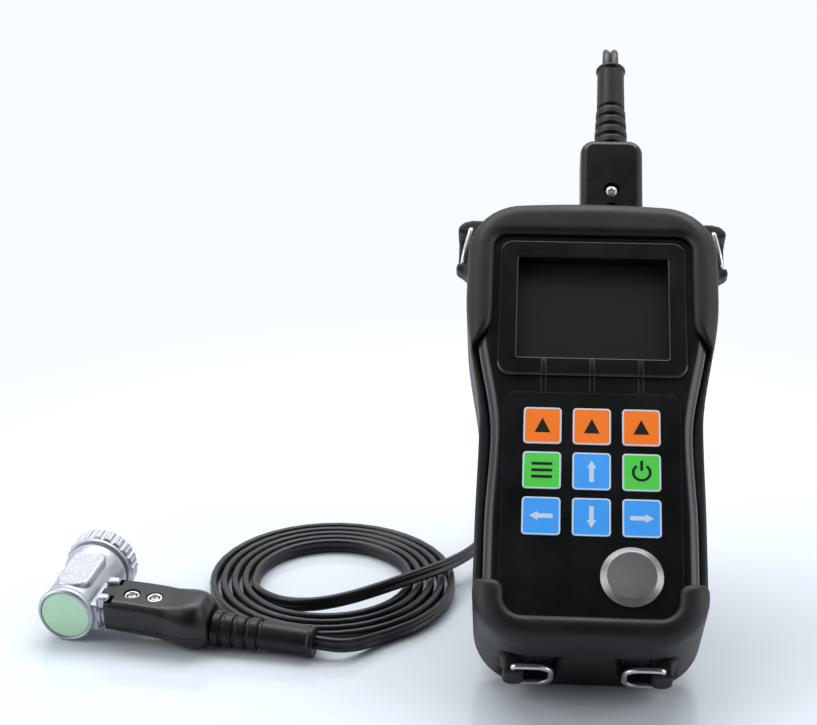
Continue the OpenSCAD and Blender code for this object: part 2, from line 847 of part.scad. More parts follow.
module battery_door() {
    color("#1a1b1d") gauge() difference() {
        slab(round_rect(-door_w / 2, door_low, door_w / 2, door_high, door_r), 0, door_t);
        both_sides() translate([door_screw_x, door_screw_y, 0]) {
            rod([0, 0, -over], door_screw_d + 2 * pin_fit, door_t + 2 * over);
            rod([0, 0, -over], door_head_d + 2 * fit, door_head_t + over);
        }
    }
}

module battery_door_screws() {
    color("#9a9da1") gauge() both_sides() translate([door_screw_x, door_screw_y, door_head_t])
        screw(door_screw_d, door_screw_len, door_head_d, door_head_t);
}

function cell_y(i) = box_low + cell_gap + cell_d / 2 + i * (cell_d + cell_gap);
cell_z = door_t + cell_bed + cell_d / 2;

// Places one cell's parts, turned round for every other cell
module cell_places() {
    for (i = [0:cells - 1]) translate([0, cell_y(i), cell_z])
        mirror([i % 2, 0, 0]) translate([-box_w / 2, 0, 0]) children();
}

module battery_cells() {
    color("#3f6f9f") gauge() cell_places() rotate([0, 90, 0]) {
        rod([0, 0, contact_t + spring_t], cell_d, cell_len);
        rod([0, 0, contact_t + spring_t + cell_len], nub_d, nub_t);
    }
}

module battery_springs() {
    color("#c9ccd0") gauge() cell_places() rotate([0, 90, 0]) translate([0, 0, contact_t])
        cylinder(d1 = spring_d, d2 = spring_end_d, h = spring_t);
}

module battery_contacts() {
    color("#c9ccd0") gauge() cell_places() for (x = [0, box_w - contact_t])
        block([x, x + contact_t], [-contact_w / 2, contact_w / 2], [-contact_w / 2, contact_w / 2]);
}

// Electronics

// Each chip: its place across the board and below the board's top, its size and its thickness
chips = [[-14, 38, 14, 14, 1.4], [8, 34, 9, 6, 1.2], [-16, 58, 10, 10, 1.2], [12, 56, 12, 7, 2.6]];
shield_in = 13.2;
shield_x = [4, head_w / 2 - shield_in];
shield_len = 17;
shield_drop = 9;
shield_y = [board_high - shield_drop - shield_len, board_high - shield_drop];
shield_t = 3.6;
shield_wall = 0.4;

module main_board() {
    color("#1f6b3a") gauge() difference() {
        block([-board_w / 2, board_w / 2], [board_low, board_high], [board_z, board_z + board_t]);
        board_boss_places() rod([0, 0, board_z - over], board_screw_d + 2 * pin_fit,
            board_t + 2 * over);
    }
}

module board_screws() {
    color("#9a9da1") gauge() board_boss_places() translate([0, 0, board_z])
        screw(board_screw_d, board_screw_len, board_head_d, board_head_t);
}

module board_chips() {
    color("#26282b") gauge() for (c = chips)
        translate([c[0], board_high - c[1], board_z - c[4]]) cube([c[2], c[3], c[4]]);
}

module pulser_shield() {
    color("#b9bcc0") gauge() difference() {
        block(shield_x, shield_y, [board_z - shield_t, board_z]);
        block([shield_x[0] + shield_wall, shield_x[1] - shield_wall],
            [shield_y[0] + shield_wall, shield_y[1] - shield_wall],
            [board_z - shield_t + shield_wall, board_z + over]);
    }
}

module lcd_module() {
    mid = window_rise + window_h / 2;
    color("#2b2f31") gauge() block([-lcd_w / 2, lcd_w / 2], [mid - lcd_h / 2, mid + lcd_h / 2],
        [board_z + board_t, pane_top - pane_t]);
}

module display_window() {
    color("#25282a") gauge() block([-window_w / 2 - pane_lap, window_w / 2 + pane_lap],
        [window_rise - pane_lap, window_rise + window_h + pane_lap], [pane_top - pane_t, pane_top]);
}

module keypad_board() {
    x = key_pitch_x + key_w / 2 + keypad_margin;
    y = key_pitch_y + key_h / 2 + keypad_margin;
    color("#1f6b3a") gauge() {
        block([-x, x], [key_rise - y, key_rise + y], [keypad_top - keypad_board_t, keypad_top]);
        both_sides() for (s = [-1, 1])
            rod([x - keypad_margin, key_rise + s * (y - keypad_margin), keypad_top - fit],
                keypad_post_d, front_in - keypad_top + fit);
    }
}

module key_domes() {
    color("#c9ccd0") gauge() key_places() translate([0, 0, keypad_top])
        cylinder(d1 = dome_d, d2 = dome_d - 2 * dome_t, h = dome_t);
}

// Keypad

module keypad_panel() {
    color("#101113") gauge() difference() {
        slab(round_rect(-panel_w / 2, panel_low, panel_w / 2, panel_top, panel_r),
            case_depth - panel_t, panel_t);
        key_places() slab(round_rect(-key_w / 2 - key_gap, -key_h / 2 - key_gap, key_w / 2 + key_gap,
            key_h / 2 + key_gap, key_r), case_depth - panel_t - over, panel_t + 2 * over);
        rod([disc_x, disc_rise, case_depth - panel_t - over], disc_stud_d + 2 * pin_fit,
            panel_t + 2 * over);
    }
}

module key(column, row) {
    gauge() translate([column * key_pitch_x, key_rise + row * key_pitch_y, key_bottom]) {
        slab(round_rect(-key_w / 2, -key_h / 2, key_w / 2, key_h / 2, key_r), 0,
            key_body_t + flange_t);
        block([-key_w / 2 - flange_out, key_w / 2 + flange_out],
            [-key_h / 2 - flange_out, key_h / 2 + flange_out], [0, flange_t]);
        rod([0, 0, -plunger_len], plunger_d, plunger_len + fit);
    }
}

module key_soft_left() { color("#f2741f") key(-1, 1); }
module key_soft_middle() { color("#f2741f") key(0, 1); }
module key_soft_right() { color("#f2741f") key(1, 1); }
module key_menu() { color("#4fbf45") key(-1, 0); }
module key_arrow_up() { color("#3f9be8") key(0, 0); }
module key_power() { color("#4fbf45") key(1, 0); }
module key_arrow_left() { color("#3f9be8") key(-1, -1); }
module key_arrow_down() { color("#3f9be8") key(0, -1); }
module key_arrow_right() { color("#3f9be8") key(1, -1); }

module zero_disc() {
    chamfer = (disc_d - disc_flat_d) / 2;
    color("#b4b6b8") gauge() translate([disc_x, disc_rise, case_depth]) union() {
        rotate_extrude() polygon([[0, 0], [disc_d / 2, 0], [disc_d / 2, disc_edge],
            [disc_flat_d / 2, disc_t], [0, disc_t]]);
        rod([0, 0, -front_wall - disc_stud_len + disc_edge], disc_stud_d,
            front_wall + disc_stud_len);
    }
}

module zero_disc_nut() {
    color("#9a9da1") gauge() translate([disc_x, disc_rise, front_in - disc_nut_t]) difference() {
        cylinder(d = disc_nut_d, h = disc_nut_t, $fn = 6);
        rod([0, 0, -over], disc_stud_d + 2 * pin_fit, disc_nut_t + 2 * over);
    }
}

// Sockets and plug at the top of the gauge

module coax_sockets() {
    color("#c2a15a") gauge() socket_places() difference() {
        union() {
            rod([0, 0, -case_wall - socket_in], socket_d, case_wall + socket_in);
            rod([0, 0, 0], socket_flange_d, socket_flange_t);
        }
        rod([0, 0, socket_flange_t - socket_deep], socket_bore_d, socket_deep + over);
    }
}

module socket_nuts() {
    color("#9a9da1") gauge() socket_places() translate([0, 0, -case_wall - socket_nut_t])
        difference() {
            cylinder(d = socket_nut_d, h = socket_nut_t);
            rod([0, 0, -over], socket_d + 2 * pin_fit, socket_nut_t + 2 * over);
        }
}

// The plug's own frame: z runs up its length, y runs from its middle to its back
module plug() {
    gauge() translate([plug_x, case_len, plug_z]) rotate([-90, 0, 0]) children();
}

// One shell, its parting face at y = 0 and its wall towards +y
module plug_shell() {
    x = plug_w / 2;
    y = plug_t / 2;
    post_x = plug_post_d / 2;
    difference() {
        intersection() {
            linear_extrude(plug_len) polygon([[-x, 0], [x, 0], [x, y - plug_edge], [x - plug_edge, y],
                [plug_edge - x, y], [-x, y - plug_edge]]);
            rotate([-90, 0, 0]) translate([0, -plug_len, 0]) linear_extrude(y)
                polygon(round_rect(-x, 0, x, plug_len + plug_r, plug_r));
        }
        block([plug_wall - x, x - plug_wall], [-over, y - plug_wall], [-over, plug_len - plug_wall]);
        rod([0, 0, plug_len - plug_wall - over], plug_neck_d, plug_wall + 2 * over);
    }
    for (z = plug_screws_y) translate([0, y - plug_wall, z]) rotate([90, 0, 0])
        cylinder(r = post_x, h = y - plug_wall);
}

module plug_screw_bores(d, deep) {
    for (z = plug_screws_y) translate([0, plug_t / 2 + over, z]) rotate([90, 0, 0])
        cylinder(d = d, h = deep + over);
}

module plug_front_shell() {
    color("#161719") plug() mirror([0, 1, 0]) difference() {
        plug_shell();
        plug_screw_bores(plug_screw_d + 2 * pin_fit, plug_t / 2 + over);
        plug_screw_bores(plug_recess_d, plug_recess_deep);
    }
}

module plug_rear_shell() {
    color("#161719") plug() difference() {
        plug_shell();
        mirror([0, 1, 0]) plug_screw_bores(plug_screw_d + 2 * pin_fit,
            plug_recess_deep + plug_screw_len);
    }
}

module plug_screws() {
    color("#c4c6c9") plug() for (z = plug_screws_y)
        translate([0, plug_recess_deep - plug_t / 2, z]) rotate([-90, 0, 0])
            screw(plug_screw_d, plug_screw_len, plug_head_d, plug_head_t);
}

module plug_pins() {
    color("#c2a15a") plug() for (x = [-socket_gap / 2, socket_gap / 2]) translate([x, 0, 0]) {
        rod([0, 0, socket_flange_t - pin_in], pin_d, pin_in + fit);
        rod([0, 0, socket_flange_t], pin_barrel_d, pin_barrel_len);
    }
}

// Strain relief that points along +z from the plane z = 0
module relief() {
    zone = relief_len * rib_zone_share;
    pitch = zone / relief_ribs;
    base = relief_base_d / 2;
    sleeve = relief_sleeve_d / 2;
    function at(z) = base + (sleeve - base) * z / zone;
    ribs = [for (i = [0:relief_ribs - 1]) let (z = i * pitch, top = z + pitch * rib_share)
        each [[at(z), z], [at(top), top], [at(top) - rib_depth, top],
            [at(z + pitch) - rib_depth, z + pitch]]];
    flange = relief_len - relief_flange_t;
    end = sleeve - relief_taper;
    nose = relief_flange_d / 2;
    round = relief_flange_t / 4;
    rotate_extrude() polygon(concat([[0, -plug_neck_len - plug_neck_flange_t],
        [plug_neck_flange_d / 2, -plug_neck_len - plug_neck_flange_t],
        [plug_neck_flange_d / 2, -plug_neck_len], [plug_neck_d / 2 - fit, -plug_neck_len],
        [plug_neck_d / 2 - fit, 0]], ribs, [[sleeve, zone], [end, flange], [nose - round, flange],
        [nose, flange + round], [nose, relief_len - round], [nose - round, relief_len],
        [0, relief_len]]));
}

module plug_strain_relief() {
    color("#1c1d20") plug() translate([0, 0, plug_len]) relief();
}

// Strap rings

// A wire ring in the x-z plane, its straight bar on the z axis, its loop towards +x
module wire_ring(w, len) {
    d = ring_wire_d;
    n = ring_near_r;
    f = ring_far_r;
    rod([0, 0, n - w / 2], d, w - 2 * n);
    rod([len, 0, f - w / 2], d, w - 2 * f);
    for (s = [-1, 1]) scale([1, 1, s]) {
        translate([n, 0, w / 2]) rotate([0, 90, 0]) cylinder(d = d, h = len - n - f);
        translate([n, 0, w / 2 - n]) rotate([90, 0, 0]) rotate([0, 0, 90])
            rotate_extrude(angle = 90) translate([n, 0]) circle(d = d);
        translate([len - f, 0, w / 2 - f]) rotate([90, 0, 0])
            rotate_extrude(angle = 90) translate([f, 0]) circle(d = d);
    }
}

module top_ring() {
    gauge() translate([ear_pivot_x, ear_pivot_y, ear_z]) rotate([0, 0, ear_lean - 90])
        wire_ring(ring_w, ring_len);
}

module bottom_ring() {
    gauge() translate([lug_x, -boot_out - lug_ring_out, lug_ring_low + ring_w / 2]) mirror([1, 0, 0])
        wire_ring(ring_w, ring_len);
}

module ring_top_right() { color("#c9ccd0") top_ring(); }
module ring_top_left() { color("#c9ccd0") mirror([1, 0, 0]) top_ring(); }
module ring_bottom_right() { color("#c9ccd0") bottom_ring(); }
module ring_bottom_left() { color("#c9ccd0") mirror([1, 0, 0]) bottom_ring(); }

// Stand

function leaned(y, z) = let (a = y + case_y, b = z + case_z)
    [a * cos(lean) - b * sin(lean), a * sin(lean) + b * cos(lean)];
stand_pivot = leaned(stand_rise, stand_pivot_z);
stand_fall = stand_pivot[1] - stand_wire_d / 2;
leg_len = sqrt(stand_run * stand_run + stand_fall * stand_fall);
leg_angle = atan2(-stand_fall, stand_run);

module stand_screw_places() {
    for (y = bracket_screws_y) both_sides()
        translate([bracket_screw_x, stand_rise - bracket_len + bracket_up + y,
            bracket_screw_len - boot_under]) children();
}

module stand_bracket() {
    face = -boot_under - bracket_t;
    low = stand_rise - bracket_len + bracket_up;
    dir = [cos(leg_angle - lean), sin(leg_angle - lean)];
    side = [-dir[1], dir[0]] * (stand_wire_d / 2 + fit);
    p = [stand_rise, stand_pivot_z];
    leg_x = stand_w / 2;
    color("#26272a") gauge() difference() {
        union() {
            slab(round_rect(-bracket_w / 2, low, bracket_w / 2, low + bracket_len, bracket_r),
                face, bracket_t);
            both_sides() translate([leg_x - stand_wire_d / 2 - knuckle_gap - knuckle_w, 0, 0]) {
                translate([0, stand_rise, stand_pivot_z]) rotate([0, 90, 0])
                    cylinder(r = knuckle_r, h = knuckle_w);
                block([0, knuckle_w], [stand_rise - knuckle_r, stand_rise + knuckle_r],
                    [stand_pivot_z, face + fit]);
            }
            both_sides() translate([leg_x - stand_wire_d / 2, 0, 0]) rotate([90, 0, 90])
                linear_extrude(stand_wire_d) polygon([p + side + dir, p + side + stop_len * dir,
                    [p[0] + stop_base, face + fit], [p[0] + stand_wire_d, face + fit]]);
        }
        translate([-leg_x, stand_rise, stand_pivot_z]) rotate([0, 90, 0])
            cylinder(d = stand_wire_d + 2 * pin_fit, h = stand_w);
        stand_screw_places() rod([0, 0, -bracket_screw_len - bracket_t - over],
            bracket_screw_d + 2 * pin_fit, bracket_t + 2 * over);
    }
}

module stand_screws() {
    color("#9a9da1") gauge() stand_screw_places() translate([0, 0, -bracket_screw_len - bracket_t])
        screw(bracket_screw_d, bracket_screw_len + bracket_t, bracket_head_d, bracket_head_t);
}

// Drawn with the pivot on the x axis and the legs along +y
module stand_shape() {
    d = stand_wire_d;
    r = stand_corner_r;
    x = stand_w / 2;
    both_sides() {
        translate([x - pin_len, 0, 0]) rotate([0, 90, 0]) cylinder(d = d, h = pin_len);
        translate([x, 0, 0]) sphere(d = d);
        translate([x, 0, 0]) rotate([-90, 0, 0]) cylinder(d = d, h = leg_len - r);
        translate([x - r, leg_len - r, 0]) rotate_extrude(angle = 90) translate([r, 0]) circle(d = d);
        translate([0, leg_len, 0]) rotate([0, 90, 0]) cylinder(d = d, h = x - r);
    }
}

module wire_stand() {
    color("#c9ccd0") translate([0, stand_pivot[0], stand_pivot[1]]) rotate([leg_angle, 0, 0])
        stand_shape();
}

// Probe: its axis runs along +y from the rim, its plug leaves along +x

module probe() {
    translate([probe_x, probe_y, probe_z]) rotate([0, 0, -probe_head]) rotate([probe_tilt, 0, 0])
        children();
}

function probe_turn(p) = let (y = p[1] * cos(probe_tilt) - p[2] * sin(probe_tilt),
        z = p[1] * sin(probe_tilt) + p[2] * cos(probe_tilt))
    [p[0] * cos(probe_head) + y * sin(probe_head), y * cos(probe_head) - p[0] * sin(probe_head), z];

// Revolves a profile of [radius, distance along the axis]
module turned(profile) {
    rotate([-90, 0, 0]) rotate_extrude() polygon(profile);
}

module bore(y, d, len) {
    translate([0, y, 0]) rotate([-90, 0, 0]) cylinder(d = d, h = len);
}

module probe_body() {
    rim = rim_d / 2;
    barrel = barrel_d / 2;
    neck = ring_near + neck_len;
    land_x = land_w / 2;
    color("#b9bcc0") probe() difference() {
        union() {
            turned([[0, 0], [rim - rim_round, 0], [rim, rim_round], [rim, rim_len - rim_round],
                [barrel, rim_len + rim_round], [barrel, ring_near - collar_len - flare_len],
                [collar_d / 2, ring_near - collar_len], [collar_d / 2, ring_near - fit],
                [neck_d / 2, ring_near - fit], [neck_d / 2, neck], [0, neck]]);
            block([-land_x, land_x], [land_near, land_far], [0, land_h]);
            block([0, port_out], [port_d - port_w / 2, port_d + port_w / 2], [-port_low, port_high]);
            for (s = [-1, 1]) translate([0, port_d + s * port_lug_spread, 0])
                block([barrel / 2, port_lug_out], [-port_lug_w / 2, port_lug_w / 2],
                    [port_lug_low, port_lug_high]);
        }
        bore(bore_low, tip_d + 2 * fit, neck);
        bore(-over, end_disc_d + 2 * fit, over + end_disc_t + end_disc_sunk);
        for (s = [-1, 1]) translate([port_out - port_socket_deep, port_d + s * port_socket_gap / 2, 0])
            rotate([0, 90, 0]) cylinder(d = port_socket_d, h = port_socket_deep + over);
        block([port_out - tab_back, port_lug_out],
            [port_d - port_lug_spread + port_lug_w / 2, port_d + port_lug_spread - port_lug_w / 2],
            [port_high - tab_t - fit, port_lug_high + over]);
        for (s = [-1, 1]) translate([0, port_d + s * port_lug_spread, 0])
            block([port_out, port_lug_out + over], [-port_lug_w / 2 - over, port_lug_w / 2 + over],
                [-port_low, port_high + port_lug_over]);
    }
}

module probe_end_disc() {
    color("#8fc99a") probe() bore(end_disc_sunk, end_disc_d, end_disc_t);
}

module probe_knurled_ring() {
    outer = knurl_d / 2;
    inner = neck_d / 2 + pin_fit;
    far = ring_near + knurl_len;
    color("#c4c6c9") probe() difference() {
        turned([[inner, ring_near], [outer - knurl_edge, ring_near], [outer, ring_near + knurl_edge],
            [outer, far - knurl_edge], [outer - knurl_edge, far], [knurl_lip_d / 2, far],
            [knurl_lip_d / 2, far - knurl_lip_t], [inner, far - knurl_lip_t]]);
        for (i = [0:knurl_grooves - 1]) rotate([0, (i + 0.5) * 360 / knurl_grooves, 0])
            translate([outer + knurl_cut_out, 0, 0])
                bore(ring_near - over, knurl_cut_d, knurl_len + 2 * over);
    }
}

tip_far = ring_near + knurl_len + tip_out;
tip_near = tip_far - tip_len;

// One half of a disc that lies across the probe's axis, beside the barrier
module half_disc(y, len, d) {
    intersection() {
        bore(y, d, len);
        block([barrier_t / 2, d], [y - over, y + len + over], [-d, d]);
    }
}

module probe_delay_lines() {
    color("#3b3f44") probe() both_sides() half_disc(tip_near, tip_len, tip_d);
}

module probe_barrier() {
    color("#a0713f") probe() intersection() {
        bore(tip_near - crystal_t, tip_d, tip_len + crystal_t);
        block([-barrier_t / 2, barrier_t / 2], [0, tip_far + over], [-tip_d, tip_d]);
    }
}

module probe_crystals() {
    color("#d8c9a0") probe() both_sides() half_disc(tip_near - crystal_t, crystal_t, tip_d);
}

module probe_damping_block() {
    color("#5a5048") probe() bore(tip_near - crystal_t - damper_len, tip_d, damper_len);
}

// Plug housing on the probe, along +x from the port's face

function grip_ring(s) = let (x = port_out + s[0] * grip_reach, w = s[1] * grip_w, low = s[2] * grip_h,
        top = s[3] * grip_h, r = grip_r_share * min(2 * w, top - low) * (s[0] > 0 ? 1 : 0.9))
    [for (q = [0:3]) for (i = [0:grip_ring_steps - 1]) let (a = 90 * (q - 1 + i / (grip_ring_steps - 1)))
        [x, port_d + (q < 2 ? w - r : r - w) + r * cos(a), (q % 3 == 0 ? low + r : top - r) + r * sin(a)]];

module grip_solid() {
    rings = [for (s = grip_shares) grip_ring(s)];
    polyhedron(points = [for (r = rings) each r], faces = stack_faces(len(rings[0]), len(rings)));
}

module grip_relief() {
    translate([grip_relief_x, port_d, grip_relief_z]) rotate([0, 90 + grip_relief_drop, 0])
        children();
}

module grip_screw_places() {
    for (x = grip_screws_x) translate([port_out + x, port_d, 0]) children();
}

module grip_hollow() {
    block([port_out + grip_hollow_near, port_out + grip_hollow_far],
        [port_d - grip_hollow_w / 2, port_d + grip_hollow_w / 2], [-grip_hollow_low, grip_hollow_high]);
    for (s = [-1, 1]) translate([port_out - over, port_d + s * port_socket_gap / 2, 0])
        rotate([0, 90, 0]) cylinder(d = grip_pin_d + 2 * pin_fit, h = grip_hollow_near + 2 * over);
    grip_relief() {
        rod([0, 0, -grip_reach + grip_hollow_far], plug_neck_d, grip_reach - grip_hollow_far + over);
        rod([0, 0, -plug_neck_len - plug_neck_flange_t - fit], plug_neck_flange_d + 2 * fit,
            plug_neck_flange_t + 2 * fit);
    }
}

module probe_plug_upper_shell() {
    color("#2a2b2f") probe() difference() {
        union() {
            difference() {
                grip_solid();
                translate([0, -reach / 2, grip_parting - reach]) cube([reach, reach, reach]);
                grip_hollow();
            }
            grip_screw_places() rod([0, 0, grip_parting], grip_post_d,
                grip_hollow_high - grip_parting + fit);
            block([port_out - tab_back + fit, port_out + fit], [port_d - tab_w / 2, port_d + tab_w / 2],
                [port_high - tab_t, port_high]);
        }
        grip_screw_places() {
            rod([0, 0, grip_parting - over], grip_screw_d + 2 * pin_fit, grip_h);
            rod([0, 0, grip_h * grip_shares[2][3] - grip_recess_deep], grip_recess_d, grip_h);
        }
    }
}

module probe_plug_lower_shell() {
    color("#222327") probe() difference() {
        intersection() {
            grip_solid();
            translate([0, -reach / 2, grip_parting - reach]) cube([reach, reach, reach]);
        }
        grip_hollow();
        grip_screw_places() rod([0, 0, grip_h * grip_shares[2][3] - grip_recess_deep - grip_screw_len],
            grip_screw_d + 2 * pin_fit, grip_h);
    }
}

module probe_plug_screws() {
    color("#c4c6c9") probe() grip_screw_places()
        translate([0, 0, grip_h * grip_shares[2][3] - grip_recess_deep]) rotate([180, 0, 0])
            screw(grip_screw_d, grip_screw_len, grip_head_d, grip_head_t);
}

module probe_plug_pins() {
    color("#c2a15a") probe() for (s = [-1, 1])
        translate([port_out - port_socket_deep, port_d + s * port_socket_gap / 2, 0])
            rotate([0, 90, 0]) cylinder(d = grip_pin_d, h = grip_pin_len);
}

module probe_strain_relief() {
    color("#1c1d20") probe() grip_relief() relief();
}

// Cord

function unit(v) = v / norm(v);

// Cross section of the flat cord: across it and along its flat
function flat_ring(n) = n == 6
    ? [[1, 0], [0.5, 1], [-0.5, 1], [-1, 0], [-0.5, -1], [0.5, -1]]
    : [[1, 0.5], [0.5, 1], [-0.5, 1], [-1, 0.5], [-1, -0.5], [-0.5, -1], [0.5, -1], [1, -0.5]];

// Ring of the cord at a point, square to its way, its flat facing as given
function cord_ring(p, way, flat, sides) = let (t = unit(way), n = unit(cross(flat, t)), w = cross(t, n))
    [for (c = flat_ring(sides)) p + c[0] * cord_t / 2 * n + c[1] * cord_w / 2 * w];

module cord_tube(rings) {
    polyhedron(points = [for (r = rings) each r], faces = stack_faces(len(rings[0]), len(rings)));
}

// Where the cord leaves the gauge's strain relief, and where it enters the probe's
gauge_tip = leaned(case_len + plug_len + relief_len, plug_z);
cord_start = [plug_x, gauge_tip[0], gauge_tip[1]];
cord_up = [0, cos(lean), sin(lean)];
relief_way = [cos(grip_relief_drop), 0, -sin(grip_relief_drop)];
cord_end = [probe_x, probe_y, probe_z] + probe_turn([grip_relief_x, port_d, grip_relief_z]
    + relief_len * relief_way);
cord_out = probe_turn(relief_way);

// The coil winds outwards and clockwise from its left side
function coil_at(t) = let (r = coil_r + coil_pitch * t, a = 360 * (0.5 - t))
    [coil_x + r * cos(a), coil_y + coil_shift * (1 - t / coil_turns) + r * sin(a), cord_w / 2];

coil_way = unit(coil_at(coil_turns) - coil_at(coil_turns - 1 / coil_rings / 4));
coil_leave = coil_at(coil_turns);
coil_meet = cord_end + cord_w * cord_out;

function bend(a, b, c, d, t) = a * pow(1 - t, 3) + 3 * b * t * pow(1 - t, 2)
    + 3 * c * t * t * (1 - t) + d * pow(t, 3);

coil_first = coil_at(0);
coil_path = concat(
    [coil_first - [0, cord_t, 0]],
    [for (i = [0:coil_rings * coil_turns - 0.5]) coil_at(i / coil_rings)],
    [for (i = [0:coil_end_rings]) bend(coil_leave, coil_leave + coil_end_pull * coil_way,
        coil_meet + coil_end_pull * cord_out, coil_meet, i / coil_end_rings)],
    [cord_end]);
coil_last = len(coil_path) - 1;

function way_at(path, i) = i == 0 ? path[1] - path[0]
    : i == len(path) - 1 ? path[i] - path[i - 1] : path[i + 1] - path[i - 1];

// Least distance between the surfaces of turns that lie beside each other
coil_gap = min([for (i = [0:coil_last]) for (j = [i + coil_rings / 2:1:coil_last])
    norm(coil_path[i] - coil_path[j]) - cord_t]);
echo(least_gap_of_coil_to_itself = coil_gap);

module cord_coil() {
    color("#17181b") cord_tube([for (i = [0:coil_last])
        cord_ring(coil_path[i], way_at(coil_path, i), [0, 0, 1], coil_sides)]);
}

// The cord leaves the strain relief straight, then bends over and falls behind the gauge
cord_over = [0, sin(lean), -cos(lean)];
cord_bend = [for (i = [0:cord_bend_steps]) let (a = cord_bend_turn * i / cord_bend_steps)
    cord_start + (cord_t + cord_bend_r * sin(a)) * cord_up + cord_bend_r * (1 - cos(a)) * cord_over];
route = concat([cord_start], cord_bend, route_mid, [coil_path[0] - [0, cord_t, 0], coil_path[0]]);
route_faces = concat([for (i = [0:len(cord_bend)]) [1, 0, 0]], route_flat, [[0, 0, 1], [0, 0, 1]]);

function through(list, i, t) = let (n = len(list) - 1, a = list[max(i - 1, 0)], b = list[i],
        c = list[min(i + 1, n)], d = list[min(i + 2, n)])
    0.5 * (2 * b + (c - a) * t + (2 * a - 5 * b + 4 * c - d) * t * t
        + (3 * b - a - 3 * c + d) * t * t * t);

route_segments = len(route) - 1;
route_path = concat([for (i = [0:route_segments - 1]) for (k = [0:route_steps - 1])
    if (k == 0 || (i > 0 && i < route_segments - 1)) through(route, i, k / route_steps)],
    [route[route_segments]]);
route_turns = concat([for (i = [0:route_segments - 1]) for (k = [0:route_steps - 1])
    if (k == 0 || (i > 0 && i < route_segments - 1)) through(route_faces, i, k / route_steps)],
    [route_faces[route_segments]]);

function path_len(path) = len(path) < 2 ? 0
    : [for (i = 1, s = norm(path[1] - path[0]); i < len(path);
        i = i + 1, s = s + (i < len(path) ? norm(path[i] - path[i - 1]) : 0)) s][len(path) - 2];
echo(cord_length = path_len(route_path) + path_len(coil_path));

module cord_free_run() {
    n = len(route_path);
    color("#26272b") cord_tube([for (i = [0:n - 1])
        cord_ring(route_path[i], i == 0 ? cord_up : i == n - 1 ? [0, 1, 0] : way_at(route_path, i),
            route_turns[i], 8)]);
}

holster();
front_case();
rear_case();
case_gasket();
case_screws();
battery_door();
battery_door_screws();
battery_cells();
battery_springs();
battery_contacts();
main_board();
board_screws();
board_chips();
pulser_shield();
lcd_module();
display_window();
keypad_board();
key_domes();
keypad_panel();
key_soft_left();
key_soft_middle();
key_soft_right();
key_menu();
key_arrow_up();
key_power();
key_arrow_left();
key_arrow_down();
key_arrow_right();
zero_disc();
zero_disc_nut();
coax_sockets();
socket_nuts();
plug_front_shell();
plug_rear_shell();
plug_screws();
plug_pins();
plug_strain_relief();
cord_free_run();
cord_coil();
ring_top_left();
ring_top_right();
ring_bottom_left();
ring_bottom_right();
stand_bracket();
stand_screws();
wire_stand();
probe_body();
probe_end_disc();
probe_knurled_ring();
probe_delay_lines();
probe_barrier();
probe_crystals();
probe_damping_block();
probe_plug_upper_shell();
probe_plug_lower_shell();
probe_plug_screws();
probe_plug_pins();
probe_strain_relief();
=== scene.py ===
"""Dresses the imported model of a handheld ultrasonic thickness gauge.

The gauge leans back in its rubber holster, and a dual element probe lies beside it on a
flat twin cord. Pieces are drawn in millimetres in the frame of what carries them and are
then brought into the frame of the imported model, in metres. Sizes are millimetres and angles
degrees unless a comment says otherwise.
"""

import logging
import math
from dataclasses import dataclass, field
from enum import Enum
from typing import Callable, Optional, Sequence

import bmesh
import bpy
from bmesh.types import BMEdge, BMesh, BMFace, BMVert
from bpy.types import ID, Material, Mesh, Node, NodeSocket, NodeTree, Object
from mathutils import Matrix, Vector


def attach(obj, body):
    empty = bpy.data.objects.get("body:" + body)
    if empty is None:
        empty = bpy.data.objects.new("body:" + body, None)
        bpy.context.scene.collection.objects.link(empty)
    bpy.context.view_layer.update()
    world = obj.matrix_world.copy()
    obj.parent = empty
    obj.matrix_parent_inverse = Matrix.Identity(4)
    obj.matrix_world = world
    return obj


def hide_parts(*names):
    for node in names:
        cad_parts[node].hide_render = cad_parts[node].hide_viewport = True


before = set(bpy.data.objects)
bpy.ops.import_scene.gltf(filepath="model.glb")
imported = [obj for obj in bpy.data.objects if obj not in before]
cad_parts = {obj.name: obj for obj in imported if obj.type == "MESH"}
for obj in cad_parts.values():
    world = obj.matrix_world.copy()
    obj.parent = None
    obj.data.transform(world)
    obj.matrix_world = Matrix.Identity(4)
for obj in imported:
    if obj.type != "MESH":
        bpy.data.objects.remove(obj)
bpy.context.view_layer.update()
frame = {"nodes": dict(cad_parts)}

Point = tuple[float, float]
Place = tuple[float, float, float]

LOG = logging.getLogger("gauge")
MM = 0.001
# Points nearer than this, in millimetres, count as one
NEAR = 1e-4


def offset(x: float, y: float, z: float) -> Matrix:
    """Gives a shift."""
    return Matrix.Translation((x, y, z))


def rotation(axis: str, degrees: float) -> Matrix:
    """Gives a turn about an axis."""
    return Matrix.Rotation(math.radians(degrees), 4, axis)


def within(t: float) -> float:
    """Holds a number between 0 and 1."""
    return min(1.0, max(0.0, t))


def eased(t: float) -> float:
    """Gives a smooth step from 0 to 1."""
    t = within(t)
    return t * t * (3 - 2 * t)


